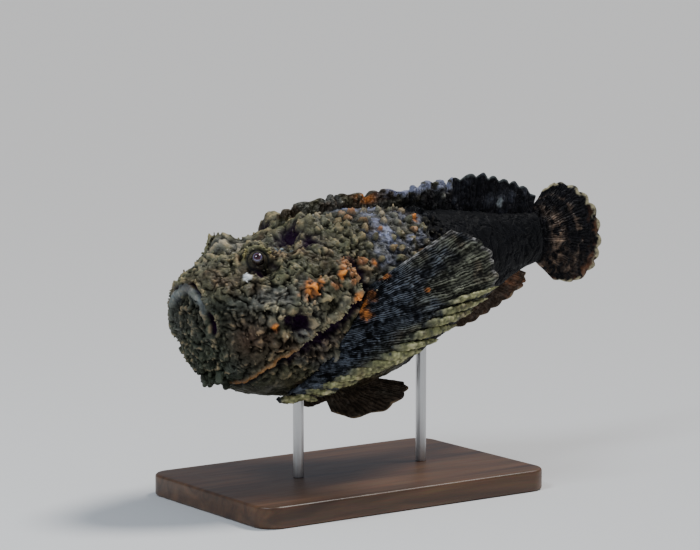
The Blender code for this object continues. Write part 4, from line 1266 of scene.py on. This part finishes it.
def caudal_paint(u, v, ray, phase, p, pebble):
    """Near black, mottled with brown across the rays, most of it low down, and a broken cream edge."""
    fine = layers(p, 2.6 * MM, 331, 3)
    patch = layers(p, 6 * MM, 341, 3)
    where = v + 0.05 * patch
    bars = np.exp(-(((where - 0.38) / 0.085) ** 2)) + 0.55 * np.exp(-(((where - 0.68) / 0.035) ** 2))
    bars = bars * ramp(-0.30, 0.25, patch + 0.6 * fine) * (0.45 + 0.55 * ray)
    bars = bars * (0.30 + 0.70 * ramp(0.15, 0.6, u))
    low = ramp(0.55, 0.85, u) * ramp(0.15, 0.3, v) * ramp(-0.2, 0.4, fine)
    tint = layered(NEAR_BLACK, (BAR_BROWN, np.clip(0.9 * bars, 0, 1)), (UMBER, 0.6 * low))
    # Painted shade in the grooves and painted highlights on the ridges
    tint = tint * (0.25 + 1.25 * pebble)[..., None]
    rim = ramp(0.905, 0.96, v + 0.03 * fine) * ramp(-0.35, 0.15, layers(p, 4 * MM, 351, 2))
    warm = ramp(0.80, 0.90, v) * (1 - rim) * ramp(-0.2, 0.3, patch) * ramp(0.35, 0.6, u)
    tint = layered(tint, (CREAM, 0.75 * rim), (RUST, 0.5 * warm))
    return tint * (1 + 0.4 * fine)[..., None]


# The orange spots on the breast fin's root: (x, z, radius) in SL
FIN_SPOTS = (
    (0.322, -0.031, 0.014),
    (0.318, -0.004, 0.014),
    (0.345, 0.004, 0.010),
    (0.385, 0.046, 0.012),
    (0.468, -0.004, 0.005),
)


def pectoral_paint(u, v, ray, phase, p, pebble):
    """Dark blue-grey at the root, weathered olive grey outwards, with orange near the root."""
    x, _, z = np.moveaxis(p / SL, -1, 0)
    fine = layers(p, 3 * MM, 361, 3)
    patch = layers(p, 13 * MM, 371, 3)
    outer = ramp(0.25, 0.60, v) * ramp(-0.5, 0.1, patch)
    low = ramp(0.32, 0.46, u)
    edge = ramp(0.955, 0.985, v) * (1 - low) + ramp(0.97, 0.99, 1 - u) * ramp(0.3, 0.5, v)
    tint = layered(
        np.array(SLATE) * 1.3,
        (NEAR_BLACK, 0.8 * ramp(-0.2, 0.4, patch)),
        (FIN_OLIVE, 0.9 * outer),
        (FIN_BROWN, 0.4 * outer * ramp(0.0, 0.5, layers(p, 7 * MM, 375, 2))),
        # Blue-grey painted highlights on the raised bumps near the root
        (FIN_BLUE, 0.5 * (1 - outer) * ramp(0.45, 0.75, pebble)),
        (np.array(YELLOW_GREEN) * 0.8, 0.8 * low * ramp(0.55, 0.80, v) * ray),
        (FIN_EDGE, 0.65 * np.clip(edge, 0, 1) * ramp(-0.4, 0.2, fine)),
    )
    for spot_x, spot_z, radius in FIN_SPOTS:
        away = np.sqrt((x - spot_x) ** 2 + (z - spot_z) ** 2) / radius + 0.9 * fine - 0.8 * (pebble - 0.5)
        rust = (RUST, 0.7 * (1 - ramp(0.8, 1.5, away)))
        tint = layered(tint, rust, (ORANGE, 0.9 * (1 - ramp(0.5, 1.0, away))))
    worn = 0.62 + 0.38 * ramp(-0.35, 0.25, layers(p, 5.5 * MM, 377, 3))
    # Random tone, times painted shade in the grooves and painted highlights on the ridges
    tint = tint * (worn * (0.12 + 1.45 * ramp(0.18, 0.85, pebble)))[..., None]
    # Painted shade in the furrows between the rays
    tint = blend(tint, NEAR_BLACK, 0.45 * (1 - ray) * ramp(0.2, 0.5, v))
    return tint * (1 + 0.4 * fine)[..., None]


def fins():
    """Every fin, riding on the body and standing for its solid."""
    surface = hide_material("fin_hide", (0.40, 0.70), 0.30)
    front = flat_fin(DORSAL_FRONT_EDGE, 0.245, 0.728, True, 0.0040, 0.004)
    rear = flat_fin(DORSAL_REAR_EDGE, 0.722, 0.990, True, 0.003, 0.003)
    below = flat_fin(ANAL_EDGE, 0.675, 0.915, False, 0.003, 0.0)
    soft = plain_form(4.0, 1.2, 1.2, 0.10)
    anal = plain_form(3.8, 0.9, 1.1, 0.09)
    tail = plain_form(4.2, 0.8, 1.1, 0.045)
    pelvic = plain_form(3.6, 1.0, 1.2, 0.05)
    brown = dark_fin_paint(TAN, 0.88, RUST, UMBER, 411, 0.7)
    under = dark_fin_paint(TAN, 0.94, UNDER_MIDDLE, UNDER_BROWN, 431, 0.7)
    breast = (18, pectoral_form, pectoral_paint, (420, 160), 11, 0.15, 0.02, 0.0)
    belly = (6, pelvic, under, (180, 70), 13, 0.2, 0.03, 0.0)
    plans = {
        "dorsal_fin_spiny": (front, 14, dorsal_front_form, ridge_paint, (430, 64), 3, 0.45, 0.16, 1.6),
        "dorsal_fin_soft": (rear, 8, soft, soft_dorsal_paint, (220, 80), 5, 0.25, 0.05, 0.5),
        "anal_fin": (below, 9, anal, brown, (220, 70), 7, 0.2, 0.04, 0.2),
        "caudal_fin": (caudal_sheet, 13, tail, caudal_paint, (300, 130), 9, 0.2, 0.03, 0.0),
        "pectoral_fin_left": (pectoral_sheet,) + breast,
        "pectoral_fin_right": (mirrored(pectoral_sheet),) + breast,
        "pelvic_fin_left": (pelvic_sheet,) + belly,
        "pelvic_fin_right": (mirrored(pelvic_sheet),) + belly,
    }
    for node, plan in plans.items():
        parts = fin_piece(*plan)
        if node.startswith("pectoral"):
            tips = strands(plan[0], plan[1], 61)
            tips[1] = tips[1] + len(parts[0])
            parts = [np.vstack(pair) for pair in zip(parts, tips)]
        vertices, faces, tints, unwrap = parts
        piece = mesh_piece("fine_" + node, pose(vertices), faces, tints, unwrap)
        turn_out(piece)
        piece.data.materials.append(surface)
        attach(piece, "root")
        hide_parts(node)


# The rings of a skin tag, as (share of its length, share of its width), and how deep its root sits
TAG_RINGS = ((0.0, 1.2), (0.35, 0.95), (0.62, 1.05), (0.85, 0.90), (0.96, 0.55))
TAG_SIDES = 6
TAG_ROOT = 0.7 * MM


def tag_places(draw):
    """Yields (place, range of lengths and of widths in millimetres, lean, how pale) of each skin tag."""
    for point in mouth_path(2.4 * MM, 90):
        if draw.random() < 0.7:
            yield point, (0.6, 1.5), (0.5, 0.9), (-0.5, 0.0, 0.1), 0.0
    for _ in range(44):
        x = draw.normal(0.036, 0.011)
        place = skin(x, math.radians(draw.normal(-94, 9)))[0]
        yield place, (1.8, 5.0), (1.6, 2.6), (-0.2, 0.0, -1.0), 0.0
    for _ in range(60):
        x = draw.uniform(0.0, 0.05)
        place = skin(x, math.radians(draw.uniform(-165, -15)))[0]
        yield place, (0.6, 1.4), (0.6, 1.1), (-0.3, 0.0, -0.3), 0.0
    for side in (-1, 1):
        for _ in range(75):
            x, z = route(GILL_LINE, draw.uniform(0.05, 0.62))
            x = x - 0.003 - draw.uniform(0, 0.012)
            place = skin(x, side_angle(x, z, side))[0]
            yield place, (0.6, 1.7), (0.5, 1.0), (0.9, 0.0, -0.35), 0.08
        centre, look = eye_seat(side)
        across = unit(np.cross(look, (0, 0, 1.0)))
        over = unit(np.cross(across, look))
        over = over if over[2] > 0 else -over
        for _ in range(22):
            t = draw.uniform(-0.2, math.pi + 0.2)
            away = (across * math.cos(t) + over * math.sin(t)) * EYE_RADIUS
            place = centre + away * draw.uniform(1.9, 2.8)
            yield place, (0.7, 1.9), (0.5, 0.9), (0.0, side * 0.2, 0.5), 0.0
    for _ in range(620):
        x = 0.06 + 0.58 * draw.random()
        place = skin(x, math.radians(draw.uniform(-25, 205)))[0]
        yield place, (0.6, 1.5), (0.5, 1.0), (0.35, 0.0, 0.25), 0.08


def tags(points, normals, colours):
    """Fleshy tags of skin along the lips, brows, chin, gill covers and back, as one piece."""
    tall, wide = points.shape[:2]
    flat, out, tint = (field.reshape(-1, 3) for field in (points, normals, colours))
    tree = KDTree(len(flat))
    for k, point in enumerate(flat):
        tree.insert(point, k)
    tree.balance()
    draw = np.random.default_rng(17)
    plans = []
    for place, lengths, widths, lean, pale in tag_places(draw):
        length = draw.uniform(*lengths) * MM
        width = draw.uniform(*widths) * MM
        _, k, away = tree.find(place)
        if away < 6 * MM:
            plans.append((k, length, width, np.array(lean), pale))
    t, size = np.array(TAG_RINGS).T
    up = np.append(t, 1.0)[:, None]
    turn = np.linspace(0, 2 * math.pi, TAG_SIDES, endpoint=False)
    circle = np.stack([np.cos(turn), np.sin(turn)], -1)
    parts = []
    for count, (k, length, width, lean, pale) in enumerate(plans):
        forward = unit(out[k] + lean * draw.uniform(0.5, 1.1) + draw.normal(0, 0.18, 3))
        across = unit(np.cross(forward, draw.normal(0, 1, 3)))
        over = np.cross(forward, across)
        curl = draw.normal(0, 0.25, 3) * length
        root = flat[k] - out[k] * TAG_ROOT
        stalk = root + forward * (length + TAG_ROOT) * up + curl * up**2
        ring = width * circle @ np.stack([across, 0.55 * over])
        body = stalk[:-1, None] + ring * size[:, None, None]
        shade = blend(tint[k] * (0.7 + 0.8 * up), CREAM, pale * up[:, 0])
        patch = 0.01 + 0.97 * np.array((k % wide / wide, k // wide / tall))
        corners = patch + 0.0015 * circle * (1 - 0.8 * t)[:, None, None]
        parts.append(
            (
                np.vstack([body.reshape(-1, 3), root, stalk[-1]]),
                tube_faces(len(t), TAG_SIDES) + count * (len(t) * TAG_SIDES + 2),
                np.vstack([np.repeat(shade[:-1], TAG_SIDES, axis=0), tint[k], shade[-1]]),
                np.vstack([corners.reshape(-1, 2), patch, patch]),
            )
        )
    vertices, faces, shades, unwrap = (np.vstack(column) for column in zip(*parts))
    return mesh_piece("skin_tags", pose(vertices), faces, shades, unwrap)


def side_angle(x, z, side):
    """The angle at which the section at x passes the height z, on one side."""
    low, high = -math.pi / 2, math.pi / 2
    for _ in range(30):
        middle = (low + high) / 2
        if plain_skin(x, middle)[2] < z * SL:
            low = middle
        else:
            high = middle
    return low if side > 0 else math.pi - low


def eyes():
    """Glossy balls with a dark pupil, a pale blue ring and a mottled brown surround."""
    surface = hide_material("eye_gloss", (0.08, 0.16), 0.02, 1.0, 0.04, 0.5)
    tall, wide = EYE_GRID
    down = np.linspace(0, math.pi, tall)
    round_about = np.linspace(0, 2 * math.pi, wide, endpoint=False)
    polar, turn = np.meshgrid(down, round_about, indexing="ij")
    degrees = np.degrees(polar)
    i, j = np.meshgrid(np.arange(tall - 1), np.arange(wide), indexing="ij")
    a = (i * wide + j).ravel()
    b = (i * wide + (j + 1) % wide).ravel()
    faces = np.stack([a, b, b + wide, a + wide], 1)
    unwrap = 0.01 + 0.98 * np.stack([turn / (2 * math.pi), polar / math.pi], -1).reshape(-1, 2)
    for node, side in (("eye_left", -1), ("eye_right", 1)):
        centre, look = eye_seat(side)
        across = unit(np.cross(look, (0, 0, 1.0)))
        over = np.cross(across, look)
        ring = np.cos(turn)[..., None] * across + np.sin(turn)[..., None] * over
        ring = np.sin(polar)[..., None] * ring
        points = centre + EYE_RADIUS * (ring + np.cos(polar)[..., None] * look)
        streak = grain(unit(ring + 1e-9) * 1.0, 0.12, 501)
        pale = ramp(33, 37, degrees + 2.5 * streak) * (1 - ramp(41, 46, degrees + 3.0 * streak))
        tint = layered(
            PUPIL_RIM,
            (PUPIL, 1 - ramp(8, 28, degrees)),
            (EYE_RING, 0.85 * pale * ramp(-0.8, 0.2, streak)),
            (blend(EYE_DARK, EYE_BROWN, ramp(0, 0.6, streak)), ramp(43, 48, degrees)),
        )
        piece = mesh_piece("fine_" + node, pose(points.reshape(-1, 3)), faces, tint.reshape(-1, 3), unwrap)
        turn_out(piece, 1e-7)
        piece.data.materials.append(surface)
        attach(piece, "root")
        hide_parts(node)


def wood_material():
    """Dark walnut: long wavy grain, fine pores and a satin finish."""
    made, tree, shader, place = new_material("walnut")
    bands = noise_node(tree, stretched(tree, place, (6.0, 90.0, 90.0)), 1.0, 6.0, 1.2)
    fine = noise_node(tree, stretched(tree, place, (70.0, 1400.0, 1400.0)), 1.0)
    colours = put_node(tree, "ValToRGB", (), {"Fac": bands.outputs["Fac"]})
    for stop, position, colour in zip(colours.color_ramp.elements, WOOD_STOPS, WOOD_COLOURS):
        stop.position = position
        stop.color = colour + (1,)
    sources = {"A": colours.outputs["Color"], "B": fine.outputs["Color"]}
    darken = put_node(tree, "Mix", {"Factor": 0.55}, sources, data_type="RGBA", blend_type="MULTIPLY")
    bump = put_node(tree, "Bump", {"Strength": 0.25, "Distance": 0.0002}, {"Height": fine.outputs["Fac"]})
    tree.links.new(darken.outputs["Result"], shader.inputs["Base Color"])
    tree.links.new(spread(tree, fine.outputs["Fac"], 0.30, 0.50), shader.inputs["Roughness"])
    tree.links.new(bump.outputs["Normal"], shader.inputs["Normal"])
    return made


def steel_material():
    """Steel brushed along the rods."""
    made, tree, shader, place = new_material("brushed_steel")
    shader.inputs["Metallic"].default_value = 1.0
    hair = noise_node(tree, stretched(tree, place, (2500.0, 2500.0, 60.0)), 1.0, 3.0).outputs["Fac"]
    tree.links.new(spread(tree, hair, 0.42, 0.66), shader.inputs["Base Color"])
    tree.links.new(spread(tree, hair, 0.22, 0.42), shader.inputs["Roughness"])
    return made


def stand():
    """The base with softly rounded edges; the rods keep their solids and get brushed steel."""
    low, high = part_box("stand_base")
    size = [b - a for a, b in zip(low, high)]
    shape = bmesh.new()
    bmesh.ops.create_cube(shape, size=1.0)
    for vertex in shape.verts:
        vertex.co = Vector([low[k] + (vertex.co[k] + 0.5) * size[k] for k in range(3)])
    upright = [e for e in shape.edges if abs(e.verts[0].co.z - e.verts[1].co.z) > size[2] / 2]
    bmesh.ops.bevel(shape, geom=upright, offset=BASE_CORNER, segments=10, affect="EDGES", profile=0.5)
    flat = [e for e in shape.edges if abs(e.verts[0].co.z - e.verts[1].co.z) < 1e-6]
    bmesh.ops.bevel(shape, geom=flat, offset=BASE_EDGE, segments=4, affect="EDGES", profile=0.5)
    mesh = bpy.data.meshes.new("display_base")
    shape.to_mesh(mesh)
    shape.free()
    mesh.shade_smooth()
    mesh.set_sharp_from_angle(angle=math.radians(40))
    base = put("display_base", mesh)
    base.data.materials.append(wood_material())
    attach(base, "root")
    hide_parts("stand_base")
    steel = steel_material()
    for name in ("stand_rod_front", "stand_rod_rear"):
        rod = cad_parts[name]
        rod.data.materials.clear()
        rod.data.materials.append(steel)
        rod.data.shade_smooth()
        rod.data.set_sharp_from_angle(angle=math.radians(40))


# The camera: where the photo was taken from, relative to the fish
CAMERA_TURN = -36.0
CAMERA_RISE = 7.0
CAMERA_DISTANCE = 1.5
PIXELS_PER_METRE = 1790.0
FRAME_WIDTH = 700
FRAME_HEIGHT = 550
SENSOR = 36.0
FISH_POINT = (0.14, 0.0, 0.0)
FISH_POINT_PIXEL = (400.7, 269.4)


def camera():
    a = math.radians(CAMERA_TURN)
    e = math.radians(CAMERA_RISE)
    right = Vector((math.cos(a), math.sin(a), 0))
    back = Vector((math.sin(a) * math.cos(e), -math.cos(a) * math.cos(e), math.sin(e)))
    up = back.cross(right)
    centre = Vector(pose_rigid(FISH_POINT))
    aim = centre + right * (FRAME_WIDTH / 2 - FISH_POINT_PIXEL[0]) / PIXELS_PER_METRE
    aim += up * (FISH_POINT_PIXEL[1] - FRAME_HEIGHT / 2) / PIXELS_PER_METRE
    made = put("camera", bpy.data.cameras.new("camera"))
    made.data.sensor_width = SENSOR
    made.data.lens = PIXELS_PER_METRE * CAMERA_DISTANCE * SENSOR / FRAME_WIDTH
    place = centre + back * CAMERA_DISTANCE
    z = (place - aim).normalized()
    x = Vector((0, 0, 1)).cross(z).normalized()
    made.matrix_world = Matrix.Translation(place) @ Matrix((x, z.cross(x), z)).transposed().to_4x4()
    made.data.clip_start = 0.05
    bpy.context.scene.camera = made


def pose_rigid(point):
    """A point of the unbent front of the fish, in the world."""
    a = math.radians(NOSE_DOWN)
    x, y, z = point
    x -= FISH_X
    return (x * math.cos(a) - z * math.sin(a), y, x * math.sin(a) + z * math.cos(a) + AXIS_HEIGHT)


def studio():
    """A wide plain pale floor and soft light that comes mostly from above."""
    floor = bpy.data.meshes.new("floor")
    shape = bmesh.new()
    bmesh.ops.create_circle(shape, cap_ends=True, segments=96, radius=60.0)
    shape.to_mesh(floor)
    shape.free()
    ground = put("floor", floor)
    pale = bpy.data.materials.new("pale_floor")
    pale.use_nodes = True
    shader = pale.node_tree.nodes["Principled BSDF"]
    shader.inputs["Base Color"].default_value = (0.76, 0.76, 0.75, 1)
    shader.inputs["Roughness"].default_value = 0.95
    floor.materials.append(pale)
    ground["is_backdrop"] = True
    world = bpy.data.worlds.new("studio")
    bpy.context.scene.world = world
    world.use_nodes = True
    world.node_tree.nodes["Background"].inputs["Color"].default_value = (0.82, 0.87, 1.0, 1)
    world.node_tree.nodes["Background"].inputs["Strength"].default_value = 0.30
    sun = bpy.data.lights.new("sun", "SUN")
    sun.energy = 2.5
    sun.angle = math.radians(16)
    sun.color = (1.0, 0.98, 0.95)
    made = put("sun", sun)
    made.rotation_euler = Vector((0.55, -0.10, 1.0)).to_track_quat("Z", "Y").to_euler()
    lamp("left_top", (-0.75, -0.25, 0.95), 0.35, 6.0, (0.80, 0.90, 1.0))


def lamp(name, place, size, power, colour):
    light = bpy.data.lights.new(name, "AREA")
    light.shape = "DISK"
    light.size = size
    light.energy = power
    light.color = colour
    made = put(name, light)
    made.location = place
    made.rotation_euler = (Vector(place) - Vector((0, 0, AXIS_HEIGHT))).to_track_quat("Z", "Y").to_euler()


def main():
    camera()
    piece, points, normals, colours = skin_piece()
    hide = hide_material("warty_hide")
    piece.data.materials.append(hide)
    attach(piece, "root")
    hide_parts("head", "lower_jaw", "gill_cover_left", "gill_cover_right", "torso", "tail")
    flaps = tags(points, normals, colours)
    flaps.data.materials.append(hide)
    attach(flaps, "root")
    fins()
    eyes()
    stand()
    studio()


main()

boxes = {"cad": CAD_BOX, "visual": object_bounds()}
{name: [list(corner) for corner in box] for name, box in boxes.items()}
